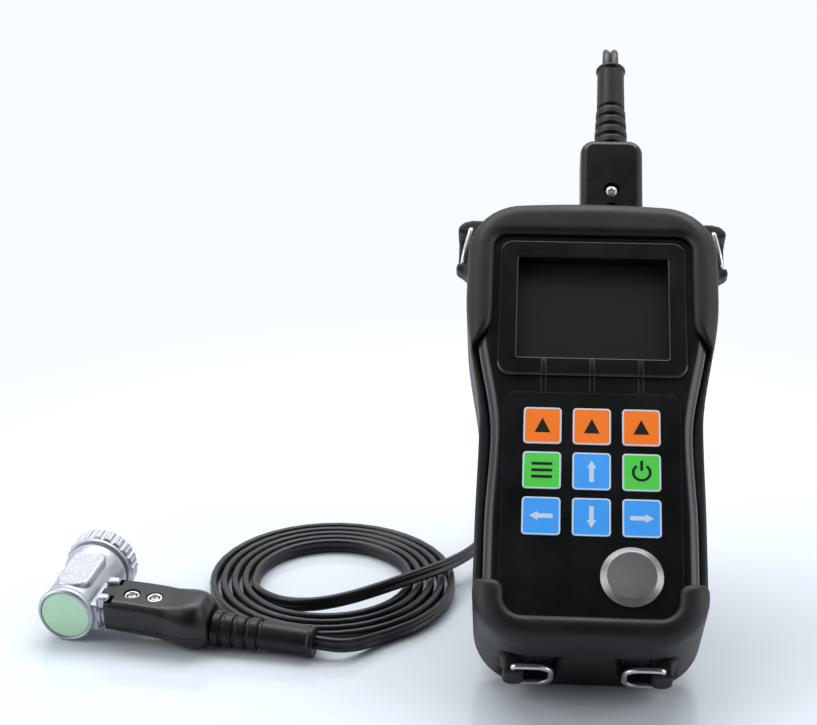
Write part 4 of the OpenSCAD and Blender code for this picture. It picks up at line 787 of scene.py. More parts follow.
@dataclass
class Cord:
    """The flat twin cord from the gauge's plug to the probe's plug."""

    width: float = 5.2
    thickness: float = 2.6
    web: float = 0.55
    turns: float = 4.66
    radius: float = 26.9
    pitch: float = 3.8
    centre: Place = (-91.0, 60.0, 2.6)
    shift: float = 1.6
    rings_a_turn: int = 40
    end_pull: float = 8.0
    bend_r: float = 10.5
    bend_turn: float = 118.0
    bend_steps: int = 5
    route_steps: int = 4
    meet_steps: int = 12
    split_end: int = 20
    split_rings: int = 8
    path: list[Vector] = field(default_factory=list)

    def coil_at(self, t: float) -> Vector:
        """Gives a point of the coil after a number of turns."""
        r, a = self.radius + self.pitch * t, math.pi - 2 * math.pi * t
        x, y, z = self.centre
        return Vector((x + r * math.cos(a), y + self.shift * (1 - t / self.turns) + r * math.sin(a), z))

    def route(self) -> tuple[list[Vector], list[Vector]]:
        """Gives the free run from the gauge to the coil.

        Returns:
            Its points and the way that the flat of the cord faces at each.
        """
        start = leaned(PLUG_X, CASE_LONG + PLUG_LONG + RELIEF_LONG, PLUG_Z)
        rise = Vector((0, math.cos(LEAN), math.sin(LEAN)))
        over = Vector((0, math.sin(LEAN), -math.cos(LEAN)))
        bend = []
        for i in range(self.bend_steps + 1):
            a = math.radians(self.bend_turn * i / self.bend_steps)
            bend.append(start + (self.thickness + self.bend_r * math.sin(a)) * rise
                        + self.bend_r * (1 - math.cos(a)) * over)
        first = self.coil_at(0) - Vector((0, self.thickness, 0))
        points = [start, *bend, *map(Vector, ROUTE_MID), first - Vector((0, self.thickness, 0)), first]
        flats = [*[(1, 0, 0)] * (len(bend) + 1), *ROUTE_FLAT, *[(0, 0, 1)] * 2]
        return self.through(points), self.through([Vector(f) for f in flats])

    def through(self, points: Sequence[Vector]) -> list[Vector]:
        """Runs a smooth curve through points."""
        last = len(points) - 1
        found = []
        for i in range(last):
            a, b = points[max(i - 1, 0)], points[i]
            c, d = points[i + 1], points[min(i + 2, last)]
            for k in range(self.route_steps):
                t = k / self.route_steps
                found.append(0.5 * (2 * b + (c - a) * t + (2 * a - 5 * b + 4 * c - d) * t * t
                                    + (3 * b - a - 3 * c + d) * t ** 3))
        return [*found, points[last]]

    def coil(self, end: Vector, out: Vector) -> list[Vector]:
        """Gives the coil and its way into the probe's strain relief.

        Args:
            end: Where the cord enters the relief.
            out: The way that the relief points.

        Returns:
            The points.
        """
        leave = self.coil_at(self.turns)
        way = (leave - self.coil_at(self.turns - 0.01)).normalized()
        meet = end + self.width * out
        bend = []
        for i in range(1, self.meet_steps + 1):
            t = i / self.meet_steps
            bend.append(leave * (1 - t) ** 3 + 3 * (leave + self.end_pull * way) * t * (1 - t) ** 2
                        + 3 * (meet + self.end_pull * out) * t * t * (1 - t) + meet * t ** 3)
        count = int(self.turns * self.rings_a_turn)
        return [*[self.coil_at(i / self.rings_a_turn) for i in range(count)], leave, *bend, end]

    def section(self, split: float) -> list[Point]:
        """Gives the outline of the two strands and the web, with the strands split apart by 0 to 1."""
        r = self.thickness / 2
        apart = r + 0.3 * split
        lobe = [(r * math.sin(a), apart + r * math.cos(a)) for a in
                (math.radians(d) for d in (-142, -100, -60, -20, 20, 60, 100, 142))]
        side = self.web * r * (1 - 0.75 * split)
        return [*lobe, (side, 0.0), *[(-u, -v) for u, v in lobe], (-side, 0.0)]

    def build(self) -> Object:
        """Makes the cord and keeps its middle line."""
        relief_way = Vector((math.cos(RELIEF_DROP), 0, -math.sin(RELIEF_DROP)))
        turn = PROBE_TURN.to_3x3()
        out = turn @ relief_way
        end = PROBE_AT + turn @ (Vector(RELIEF_AT) + RELIEF_LONG * relief_way)
        run, faces = self.route()
        coil = self.coil(end, out)
        points = [*run, *coil]
        flats = [*faces, *[Vector((0, 0, 1))] * len(coil)]
        rings = []
        for i, p in enumerate(points):
            way = (points[min(i + 1, len(points) - 1)] - points[max(i - 1, 0)]).normalized()
            across = flats[i].cross(way).normalized()
            along = way.cross(across)
            split = within((self.split_end - i) / self.split_rings)
            rings.append([p + u * across + v * along for u, v in self.section(split)])
        made = finished(lofted(rings), "twin_cord", TO_WORLD, [CORD_JACKET],
                        ("cord_free_run", "cord_coil"), sharp=80, weighted=False)
        self.path = [p * MM for p in points]
        LOG.info("cord length %.4f m", sum((b - a).length for a, b in zip(self.path, self.path[1:])))
        return made


def leaned(x: float, y: float, z: float) -> Vector:
    """Gives the place in the model, in millimetres, of a point in the case's frame."""
    return (TO_GAUGE @ Vector((x, y, z))) / MM


RELIEF_BASE_R = 6.05
RELIEF_DROP = math.radians(1.6)
RELIEF_AT = (PROBE_PLUG_START + PROBE_PLUG_LONG + RELIEF_BASE_R * math.sin(RELIEF_DROP), PROBE_PLUG_Y, -4.5)
# The middle of the cord's free run, and the way that its flat faces at each of these points
ROUTE_MID = ((7, 183, 152), (7, 184, 136), (6.6, 184.6, 116), (6, 185, 96), (5.2, 185, 76),
             (4.2, 184.6, 56), (2.6, 183.6, 38), (0, 181.2, 22), (-4.6, 176.4, 9.6), (-11, 169.6, 4),
             (-19, 160.6, 2.8), (-26.6, 149, 2.8), (-31.6, 136, 2.8), (-34.2, 122, 2.8), (-35.4, 108, 3.2),
             (-36.6, 95, 4.6), (-38.2, 83.6, 7), (-42.4, 73.2, 8.3), (-49.2, 64.6, 8.4), (-57.4, 57.2, 8.4),
             (-66, 50, 8.4), (-75, 43.4, 8), (-84.6, 38.4, 7.2), (-94.6, 36.2, 6.2), (-104.2, 38.4, 5),
             (-111.6, 44.6, 3.7), (-116.4, 51, 2.9))
ROUTE_FLAT = ((1, 0, 0), (1, 0, 0), (1, -0.1, 0), (1, -0.2, 0), (1, -0.3, 0), (1, -0.4, 0),
              (1, -0.5, 0), (1, -0.6, 0), (1, -0.7, 0), (1, -0.8, 0.1), (1, -0.7, 0.4),
              (1, -0.4, 0.9), (0.6, -0.2, 1), (0.3, 0, 1), *[(0, 0, 1)] * 13)


@dataclass
class CaseForm:
    """The outline that the case and the holster share."""

    length: float = CASE_LONG
    heel: float = 69.1
    waist: float = 66.7
    head: float = 78.4
    waist_at: float = 69.5
    low_blend: float = 34.0
    high_blend: float = 43.0
    low_r: float = 10.2
    top_r: float = 12.7
    corner_steps: int = 10
    side_steps: int = 28

    def half(self, y: float) -> float:
        """Gives the case's half width at a height above its foot."""
        end, blend = (self.heel, self.low_blend) if y < self.waist_at else (self.head, self.high_blend)
        return self.waist / 2 + (end - self.waist) / 2 * eased(abs(y - self.waist_at) / blend)

    def outline(self, out: float, crown: float = 0.0) -> list[Point]:
        """Gives the outline, moved outwards and with a raised top edge.

        Args:
            out: How far it is moved outwards.
            crown: How far the middle of the top edge rises.

        Returns:
            The points, anticlockwise from the foot's right corner.
        """
        low = (self.half(self.low_r) - self.low_r, self.low_r)
        high = (self.half(self.length - self.top_r) - self.top_r, self.length - self.top_r)
        levels = [low[1] + (high[1] - low[1]) * i / self.side_steps for i in range(1, self.side_steps)]
        right = [*arc(low, self.low_r + out, -90, 0, self.corner_steps), *[(self.half(y) + out, y) for y in levels],
                 *arc(high, self.top_r + out, 0, 90, self.corner_steps)]
        edge = right[-1]
        top = [(edge[0] * s, edge[1] + crown * (1 - s * s)) for s in (0.75, 0.5, 0.25, 0, -0.25, -0.5, -0.75)]
        return [*right, *top, *[(-x, y) for x, y in reversed(right)]]


@dataclass
class Holster:
    """The rubber holster with its ears, hooks, pockets and lugs."""

    form: CaseForm
    front: float = 41.4
    front_r: float = 6.0
    side_top: float = 31.7
    cup: float = 5.8
    cup_flat: float = 21.5
    hollow_r: float = 6.0
    horn: float = 17.6
    horn_r: float = 3.9
    open_half: float = 33.6
    open_top: float = 144.6
    open_r: float = 4.4
    shoulder: float = 102.0
    roll: float = 2.6
    lug_low: float = 6.2
    lug_r: float = 3.5
    draft: float = 1.3
    draft_span: tuple = ((8, 22), (22, 20))
    voxel: float = 0.7
    melt: int = 7
    kept: float = 0.5

    def opening(self) -> BMesh:
        """Makes the solid that opens the front of the holster."""
        side = [*arc((self.cup_flat, self.cup + self.hollow_r), self.hollow_r, -90, 0),
                *arc((self.cup_flat + self.hollow_r + self.horn_r, self.horn - self.horn_r), self.horn_r, 180, 90),
                (36.2, self.horn), (38.4, self.horn - 0.9), (60, self.horn - 2.5), (60, self.shoulder - 2),
                *filleted([(50, self.shoulder - 1), (41.0, self.shoulder), (34.0, self.shoulder + 6.0),
                           (self.open_half, self.shoulder + 14)], 4, 5),
                *arc((self.open_half - self.open_r, self.open_top - self.open_r), self.open_r, 0, 90)]
        return flared([*side, *[(-x, y) for x, y in reversed(side)]], self.side_top, self.front, self.roll)

    def pocket(self) -> BMesh:
        """Makes the solid that hollows one pocket in the bottom end."""
        return moved(prism([(11.3, 3), (28.4, 3), (29.6, 24.6), (8.2, 24.6)], 0.7, 10), AGAINST_Y)

    def lug(self) -> BMesh:
        """Makes one lug that holds a lower ring."""
        points = [*arc((24, self.lug_low + self.lug_r), self.lug_r, 180, 360, 12), (27.3, 19.4), (20.7, 19.4)]
        return moved(prism(points, 1.3, 6.7), AGAINST_Y)

    def ear(self) -> list[BMesh]:
        """Makes the ear, hook and web that hold one upper ring."""
        ear = prism([(33, 147.6), (47.4, 152.2), *arc((42.8, 152.2), 4.6, 0, 90), (33, 156.8)], 20.8, 28.8)
        hook = prism([(33, 127.5), (41.5, 132.4), *arc((46.2, 137.4), 1.4, -45, 90), (33, 138.8)],
                     23.4, 29.4)
        web = prism([(33, 140.5), (45.4, 140.5), (46.9, 142.5), (46.9, 152.2), (42.8, 156.8), (33, 156.8)],
                    17.5, 21.5)
        return [ear, hook, web]

    def build(self) -> None:
        """Makes the holster."""
        outer = CaseForm(length=self.form.length - 1.3, heel=self.form.heel - 1.5, low_r=14.0, top_r=15.2,
                         waist_at=74.0, high_blend=48.0)
        body = prism(outer.outline(BOOT_OUT, 0.8), -BOOT_UNDER, self.front, self.front_r, HEEL_R, 8)
        (deep, deep_span), (high, high_span) = self.draft_span
        for vert in body.verts:
            rise = within((vert.co.z - deep) / deep_span) * within((high - vert.co.y) / high_span)
            vert.co.y += self.draft * rise
        cavity = prism(self.form.outline(0.1), -0.1, CASE_DEEP + 0.1, 4, 3, 4)
        window = plate((-4.5, 18.7), (149, 165), (11.3, 27.1))
        bm = combined(body, cut=[self.opening(), twin(self.pocket())])
        ears = [part for solid in self.ear() for part in (solid.copy(), moved(solid, MIRROR))]
        bm = combined(bm, added=[twin(self.lug()), *ears], cut=[cavity, window])
        bm = moved(softened(bm, self.voxel, self.melt, self.kept), TO_GAUGE)
        finished(halved(bm, 2, 0.0, 1), "holster_rubber", Matrix.Identity(4), [RUBBER], ("holster",),
                 sharp=60, weighted=False)


@dataclass
class CaseFront:
    """The front half of the case with its bezel and window recess."""

    form: CaseForm
    wall: float = 2.2
    split: float = 14.3
    inside: float = 36.1
    frame: tuple[Point, Point] = ((-31.9, 31.9), (90.4, 142.5))
    frame_r: float = 4.6
    collar: tuple[Point, Point] = ((-29.2, 29.2), (93.7, 140.1))
    window: tuple[Point, Point] = ((-25.5, 25.7), (97.0, 136.0))
    panel_bed: tuple[Point, Point] = ((-29.3, 29.3), (3.9, 84.4))
    well_half: Point = (7.2, 7.45)
    well_floor: float = 37.3
    rib_half: float = 0.16
    rib_long: float = 6.0
    rib_apart: float = 0.78
    rib_rows: tuple[Point, Point] = ((84.6, CASE_DEEP), (90.7, FRAME_FACE))

    def glinting(self, middle: Vector, face: BMFace) -> bool:
        """Tells the ribs, the frame's lower edge and the window's edge, which get a paler finish as a painted
        highlight where they catch the light.
        """
        rib = middle.z > FRAME_FACE + 0.01
        low_edge = (middle.z > CASE_DEEP + 0.01 and middle.y < self.window[1][0] - 1
                    and (0.35 < face.normal.z < 0.8 or face.calc_area() < 4))
        pane_edge = FRAME_FACE - 0.4 < middle.z < FRAME_FACE - 0.01 and abs(middle.x) < 27 and middle.y < 135
        return rib or low_edge or pane_edge

    def shaded_rim(self, middle: Vector, face: BMFace) -> bool:
        """Tells the frame's rolled edge at its top and sides, which gets a darker matt finish as painted shade."""
        rolled = CASE_DEEP + 0.05 < middle.z < FRAME_FACE - 0.01 and face.normal.z < 0.97
        return rolled and middle.y > self.window[1][0] - 1 and (abs(middle.x) > 31 or middle.y > 141.5)

    def build(self) -> None:
        """Makes the front shell and the panes behind its window."""
        body = prism(self.form.outline(0), self.split, CASE_DEEP, 4, 0, 8)
        hollow = prism(self.form.outline(-self.wall), self.split - 1.3, self.inside)
        bezel = plate(*self.frame, (self.inside - 0.05, FRAME_FACE), self.frame_r, 0.7)
        collar = plate(*self.collar, (self.inside - 1.6, self.inside + 0.1))
        cuts = [flared(rounded(*self.window, 0.8), 33, FRAME_FACE, 0.4, 3),
                plate(*self.panel_bed, (CASE_DEEP - 0.5, 45), 3.7), rod((*DISC_AT[:2], 30), DISC_HOLE_R, 15)]
        w, h = self.well_half
        for x, y in KEY_SPOTS:
            cuts += [plate((x - w, x + w), (y - h, y + h), (self.well_floor, 45)), rod((x, y, 30), 2.15, 15)]
        shell = combined(combined(body, cut=[hollow]), added=[bezel, collar], cut=cuts)
        half = self.rib_half
        ribs = [plate((x - half, x + half), (y, y + self.rib_long), (z - 0.5, z + 0.12), 0, 0.1, 0, 2)
                for x in (KEY_STEP[0] * i + s * self.rib_apart for i in (-1, 0, 1) for s in (-1, 1))
                for y, z in self.rib_rows]
        # Ribs and edges that catch the light get a paler finish as a painted highlight
        # The frame's rolled edge at its top and sides gets a darker, duller finish as painted shade
        shell = painted(painted(combined(shell, added=ribs), 1, self.glinting), 2, self.shaded_rim)
        finished(shell, "front_shell", TO_GAUGE, [CASE_ABS, GLINT_ABS, SHADED_FRAME_ABS], ("front_case",))
        pane = plate((-28.7, 28.7), (94.2, 139.6), (33.5, 34.5), 0.6, 0.1, 0.1, 2)
        finished(pane, "window_pane", TO_GAUGE, [PANE], ("display_window",))
        module = plate((-28.5, 28.5), (93.4, 140.4), (28.4, 33.4), 0.8, 0.2, 0, 2)
        finished(module, "display_glass", TO_GAUGE, [LCD], ("lcd_module",))


class Mark(Enum):
    """What a key shows."""

    TRIANGLE = "triangle"
    MENU = "menu"
    POWER = "power"
    UP = 90
    LEFT = 180
    DOWN = 270
    RIGHT = 0


@dataclass
class Keypad:
    """The film panel, the nine keys and the steel disc."""

    key_half: Point = (6.25, 6.6)
    low: float = 37.75
    top: float = 39.05
    line: float = 0.42
    skirt_out: float = 0.6
    skirt_t: float = 0.45
    gap: float = 0.15
    print_t: float = 0.03

    def cap(self) -> BMesh:
        """Makes one key cap with its pale line, centred on its own middle."""
        w, h = self.key_half
        bm = plate((-w, w), (-h, h), (self.low, self.top), KEY_R, 0.12, 0, 3)
        wide, high = w + self.skirt_out, h + self.skirt_out
        skirt = plate((-wide, wide), (-high, high), (self.low, self.low + self.skirt_t), 0.4, 0.1, 0, 2)
        plunger = rod((0, 0, self.low - 1.7), 2, 2)
        bm = combined(bm, added=[skirt, plunger])
        bm.normal_update()
        face = [f for f in bm.faces if f.normal.z > 0.99 and f.calc_center_median().z > self.top - 0.01]
        rim = bmesh.ops.inset_region(bm, faces=face, thickness=self.line, depth=0.0, use_even_offset=True)["faces"]
        rim += [f for f in bm.faces if f.calc_center_median().z > self.top - 0.4 and f not in face]
        for f in rim:
            f.material_index = 1
        return bm

    def mark(self, kind: Mark) -> BMesh:
        """Makes the raised print of a key."""
        low, high = self.top - 0.05, self.top + self.print_t
        if kind is Mark.TRIANGLE:
            return prism([(-2.6, -2.5), (2.6, -2.5), (0, 2.8)], low, high)
        if kind is Mark.MENU:
            return joined(*[plate((-3.4, 3.4), (y - 0.5, y + 0.5), (low, high), 0.3) for y in (-2.3, 0, 2.3)])
        if kind is Mark.POWER:
            ring = [*arc((0, 0), 3.2, 125, 415, 28), *arc((0, 0), 2.3, 415, 125, 28)]
            return joined(prism(ring, low, high), plate((-0.45, 0.45), (0.6, 4.2), (low, high), 0.2))
        arrow = [(-3.8, -0.75), (1.1, -0.75), (1.1, -1.55), (3.8, 0), (1.1, 1.55), (1.1, 0.75), (-3.8, 0.75)]
        return moved(prism(arrow, low, high), rotation("Z", kind.value))

    def key(self, column: int, row: int, node: str, kind: Mark, finish: Finish) -> None:
        """Makes one key.

        Args:
            column: Its column from -1 to 1.
            row: Its row from -1 to 1.
            node: The model's node and body.
            kind: What it shows.
            finish: The finish of its face.
        """
        bm = moved(joined(self.cap(), painted(self.mark(kind), 2)),
                   offset(KEY_STEP[0] * column, KEY_MIDDLE + KEY_STEP[1] * row, 0))
        ink = KEY_LINE if isinstance(kind.value, int) else KEY_MARK
        finished(bm, node.replace("key_", "cap_"), TO_GAUGE, [finish, KEY_LINE, ink], (node,), body=node)

    def panel(self) -> None:
        """Makes the film panel round the keys."""
        sheet = plate((-29.2, 29.2), (4, 84.3), (38.21, 38.72), 3.6, 0.14, 0, 3)
        w, h = self.key_half[0] + self.gap, self.key_half[1] + self.gap
        holes = [plate((x - w, x + w), (y - h, y + h), (37, 41), KEY_R) for x, y in KEY_SPOTS]
        sheet = combined(sheet, cut=[*holes, rod((*DISC_AT[:2], 37), DISC_HOLE_R, 4)])
        finished(sheet, "film_panel", TO_GAUGE, [PANEL_FILM], ("keypad_panel",))

    def disc(self) -> None:
        """Makes the steel disc on which the probe is set to zero."""
        face = filleted([(0, 1.9), (7.95, 1.9), (10.1, 0.35), (10.1, 0), (4, 0), (4, -8.3), (0, -8.3)], 0.2, 3)
        bm = painted(moved(turned(face, 96), offset(*DISC_AT)), 1, lambda m, f: m.z > CASE_DEEP and f.normal.z < 0.97)
        finished(bm, "steel_disc", TO_GAUGE, [DISC_FLAT, DISC_RIM], ("zero_disc",))

    def build(self) -> None:
        """Makes the whole keypad."""
        self.panel()
        for column, name in ((-1, "left"), (0, "middle"), (1, "right")):
            self.key(column, 1, f"key_soft_{name}", Mark.TRIANGLE, KEY_ORANGE)
        self.key(-1, 0, "key_menu", Mark.MENU, KEY_GREEN)
        self.key(0, 0, "key_arrow_up", Mark.UP, KEY_BLUE)
        self.key(1, 0, "key_power", Mark.POWER, KEY_GREEN)
        for column, name in ((-1, "left"), (0, "down"), (1, "right")):
            self.key(column, -1, f"key_arrow_{name}", Mark[name.upper()], KEY_BLUE)
        self.disc()


def screw(radius: float, length: float, head: float, head_t: float) -> BMesh:
    """Makes a pan head screw that points down from the plane z = 0, with a cross recess.

    Args:
        radius: Radius of its shank.
        length: Length of its shank.
        head: Radius of its head.
        head_t: Height of its head.

    Returns:
        The closed mesh.
    """
    profile = filleted([(0, head_t), (head * 0.4, head_t * 0.97), (head * 0.8, head_t * 0.76),
                        (head, head_t * 0.4), (head, 0), (radius, 0),
                        (radius, -length), (0, -length)], head * 0.25, 4)
    arms = [plate((-a, a), (-b, b), (head_t * 0.45, head_t + 1)) for a, b in
            ((head * 0.52, head * 0.13), (head * 0.13, head * 0.52))]
    return combined(turned(profile, 32), cut=arms)


def relief() -> BMesh:
    """Makes a ribbed strain relief that points along +z from the plane z = 0."""
    zone, ribs = RELIEF_LONG * 0.49, 4
    pitch = zone / ribs
    line = [(0, -3.2), (5.2, -3.2), (5.2, -1.9), (3.6, -1.9), (3.6, 0)]
    for i in range(ribs):
        z = i * pitch
        top = z + pitch * 0.68
        line += [(6.2 - 0.9 * z / zone, z), (6.3 - 0.9 * top / zone, top - 0.5), (6.0 - 0.9 * top / zone, top),
                 (5.35 - 0.9 * top / zone, top + 0.15), (5.35 - 0.9 * (z + pitch) / zone, z + pitch - 0.15)]
    line += [(5.15, zone), *[(r, RELIEF_LONG - d) for r, d in
                             ((4.95, 2.1), (5.2, 1.7), (5.5, 1.4), (5.5, 0.6), (5.0, 0), (0, 0))]]
    return turned(filleted(line, 0.6, 3), 56)


@dataclass
class Plug:
    """The plug on top of the gauge with its screws and strain relief."""

    half_w: float = 11.2
    half_t: float = 7.5
    screws: Point = (8.1, 16.4)
    sunk: float = -5.8
    parting: float = 0.04
    relief: Optional[Object] = None

    def half(self, side: int) -> BMesh:
        """Makes one shell, on the front for -1 or on the back for 1."""
        w, t = self.half_w, self.half_t
        bm = plate((-w, w), (-t, t), (0, PLUG_LONG))
        bevelled(bm, [e for e in edges_at(bm, PLUG_LONG) if abs(e.verts[0].co.x - e.verts[1].co.x) < NEAR], 5.2, 8)
        foot = edges_at(bm, 0.0)
        faces = [e for e in bm.edges if e not in foot and any(abs(abs(f.normal.y) - 1) < NEAR for f in e.link_faces)]
        bevelled(bm, faces, 3.0, 6)
        return halved(bm, 1, self.parting * side, side, 0.18)

    def build(self) -> None:
        """Makes both shells, the screws and the relief."""
        places = [offset(0, self.sunk, z) @ AGAINST_Y for z in self.screws]
        neck = rod((0, 0, 33), 3.7, 8)
        front = combined(self.half(-1), cut=[*[moved(rod((0, 0, 0), 2.95, 3.4), p) for p in places], neck.copy()])
        finished(front, "plug_front", TO_PLUG, [PLUG_NYLON], ("plug_front_shell",))
        back = combined(self.half(1), cut=[neck])
        finished(back, "plug_back", TO_PLUG, [PLUG_NYLON], ("plug_rear_shell",))
        screws = joined(*[moved(screw(1.1, 9, 2.4, 1.4), p) for p in places])
        finished(screws, "plug_cross_screws", TO_PLUG, [SCREW_STEEL], ("plug_screws",))
        self.relief = finished(relief(), "plug_relief", TO_PLUG @ offset(0, 0, PLUG_LONG), [RELIEF_RUBBER],
                               ("plug_strain_relief",), sharp=50)


def edges_of(geom: Sequence) -> list[BMEdge]:
    """Picks the edges out of mixed parts of a mesh."""
    return [part for part in geom if isinstance(part, BMEdge)]


def wire(radius: float, moves: Sequence[tuple], sides: int = 16, shut: bool = False) -> BMesh:
    """Bends a round wire that starts at the origin and runs along +z.

    Args:
        radius: Radius of the wire.
        moves: Straight lengths as (length,), and bends towards +x as (radius, degrees).
        sides: Sides of its section.
        shut: Whether its end meets its start.

    Returns:
        The closed mesh.
    """
    bm = bmesh.new()
    loop = bmesh.ops.create_circle(bm, segments=sides, radius=radius)["verts"]
    geom: list = [*loop, *{e for v in loop for e in v.link_edges}]
    at, way, side = Vector((0, 0, 0)), Vector((0, 0, 1)), Vector((1, 0, 0))
    for move in moves:
        if len(move) == 1:
            step = way * move[0]
            made = bmesh.ops.extrude_edge_only(bm, edges=edges_of(geom))["geom"]
            geom = [g for g in made if not isinstance(g, BMFace)]
            bmesh.ops.translate(bm, verts=[g for g in geom if isinstance(g, BMVert)], vec=step)
            at = at + step
            continue
        bend, degrees = move
        centre, axis, angle = at + side * bend, way.cross(side), math.radians(degrees)
        made = bmesh.ops.spin(bm, geom=geom, cent=centre, axis=axis, angle=angle, steps=max(4, int(degrees / 9)))
        geom = [g for g in made["geom_last"] if not isinstance(g, BMFace)]
        swing = Matrix.Rotation(angle, 4, axis)
        at = centre + swing @ (at - centre)
        way, side = (swing @ way).normalized(), (swing @ side).normalized()
    if shut:
        bmesh.ops.remove_doubles(bm, verts=bm.verts, dist=0.01)
    return closed(bm)


@dataclass
class StrapRings:
    """The four wire rings that take a strap."""

    radius: float = 0.95
    near: float = 1.3
    far: float = 5.0
    top_size: Point = (11.5, 13.6)
    bottom_size: Point = (15.4, 12.2)

    def ring(self, width: float, length: float) -> BMesh:
        """Makes a ring in the x-z plane, its bar on the z axis and its loop towards +x."""
        bar, side, end = width / 2 - self.near, length - self.near - self.far, width - 2 * self.far
        moves = [(bar,), (self.near, 90), (side,), (self.far, 90), (end,), (self.far, 90), (side,), (self.near, 90),
                 (bar,)]
        return wire(self.radius, moves, shut=True)

    def build(self) -> None:
        """Makes the four rings."""
        top = offset(42.5, 152.2, 24.8) @ rotation("Z", -79)
        bottom = offset(24, -5.0, 13.2) @ MIRROR
        for name, place, size in (("top_right", top, self.top_size), ("top_left", MIRROR @ top, self.top_size),
                                  ("bottom_right", bottom, self.bottom_size),
                                  ("bottom_left", MIRROR @ bottom, self.bottom_size)):
            finished(moved(self.ring(*size), place), f"strap_ring_{name}", TO_GAUGE, [WIRE],
                     (f"ring_{name}",), body=f"ring_{name}", sharp=70, weighted=False)


@dataclass
class Stand:
    """The wire bail that folds out behind the holster."""

    radius: float = 1.5
    half_w: float = 20.0
    corner: float = 7.0
    pin: float = 8.0
    run: float = 24.0
    rise: float = 113.7
    behind: float = 4.2

    def build(self) -> None:
        """Makes the bail."""
        _, y, z = leaned(0, self.rise, -BOOT_UNDER - self.behind)
        fall = z - self.radius
        leg = math.hypot(self.run, fall)
        elbow = self.radius * 1.02
        pin, side = (self.pin - elbow,), (leg - elbow - self.corner,)
        moves = [pin, (elbow, 90), side, (self.corner, 90), (2 * (self.half_w - self.corner),), (self.corner, 90),
                 side, (elbow, 90), pin]
        lay = Matrix(((0, 0, 1, self.half_w - self.pin), (1, 0, 0, 0), (0, 1, 0, 0), (0, 0, 0, 1)))
        bm = moved(wire(self.radius, moves, 20),
                   offset(0, y, z) @ Matrix.Rotation(math.atan2(-fall, self.run), 4, "X") @ lay)
        finished(bm, "stand_bail", TO_WORLD, [WIRE], ("wire_stand",), body="wire_stand", sharp=70,
                 weighted=False)


@dataclass
class Probe:
    """The dual element probe."""

    grooves: int = 20

    def body(self) -> None:
        """Makes the turned body with its land, port and lugs."""
        profile = [(0, 1.1), (8.8, 1.1), (8.8, 0.2), (9.1, 0), (9.4, 0), (10.15, 0.7), (10.15, 2.0), (9.6, 3.0),
                   (9.6, 22), (11.1, 27), (11.1, 29.6), (9.6, 29.6), (9.6, 36.4), (8.1, 36.4), (8.1, 19), (0, 19)]
        barrel = moved(turned(filleted(profile, 0.7, 4), 96), ALONG_Y)
        land = plate((-5.6, 6.6), (4.4, 27.6), (2, 10.2), 5.2, 1.4, 0, 5)
        port = plate((0, 11.0), (1.8, 17.6), (-6.4, 4.3))
        bevelled(port, edges_along(port, 0, 5), 1.4, 4)
        across = rotation("Y", 90)
        collars = [moved(plate((-5.6 + d, 6.4 - d), (1.8 + d, 17.6 - d), (x0, x1), 5.2 - d, 0.35, 0.2), across)
                   for x0, x1, d in ((10.6, 12.0, 0), (11.8, 13.5, 0.9), (12.8, 13.6, 0.35))]
        lugs = [plate((10.4, 15.0), (y - 1.8, y + 1.8), (3.4, 7.5), 1.4, 1.2, 0.2, 5) for y in (4.1, 14.8)]
        under = plate((13.6, 17), (0, 19.4), (-7, 6.3))
        notch = plate((9.8, 17), (6.3, 13.1), (3.1, 9))
        bm = combined(barrel, added=[land, port, *collars, *lugs], cut=[under, notch])
        painted(bm, 1, lambda m, f: f.normal.z > 0.95 and abs(m.x - 0.5) < 5.5 and 10.15 < m.z < 10.25
                and 3.0 < m.y < 28)
        finished(bm, "probe_barrel", TO_PROBE, [PROBE_METAL, LAND_METAL], ("probe_body",))
        disc = moved(turned(filleted([(0, 0.28), (8.3, 0.3), (8.7, 0.5), (8.7, 1.1), (0, 1.1)], 0.2, 3), 72), ALONG_Y)
        finished(disc, "probe_label", TO_PROBE, [LABEL], ("probe_end_disc",))

    def ring(self) -> None:
        """Makes the grooved ring that holds the tip."""
        profile = filleted([(9.66, 30.9), (11.6, 30.9), (11.6, 32.0), (KNURL_R, 32.6), (KNURL_R, 37.4), (11.7, 38.2),
                            (8.4, 38.2), (8.4, 37), (9.66, 37), (9.66, 30.9)], 0.3, 3)
        step = 360 / self.grooves
        cuts = [moved(rod((12.85, 0, 29), 1.1, 11, 20), rotation("Z", step * (i + 0.5))) for i in range(self.grooves)]
        cuts += [moved(rod((12.72, 0, 32.8), 0.5, 9, 12), rotation("Z", step * i)) for i in range(self.grooves)]
        bm = moved(combined(turned(profile, 120), cut=cuts), ALONG_Y)
        finished(bm, "probe_ring", TO_PROBE, [PROBE_METAL], ("probe_knurled_ring",),
                 body="probe_knurled_ring")

    def build(self) -> None:
        """Makes the probe."""
        self.body()
        self.ring()


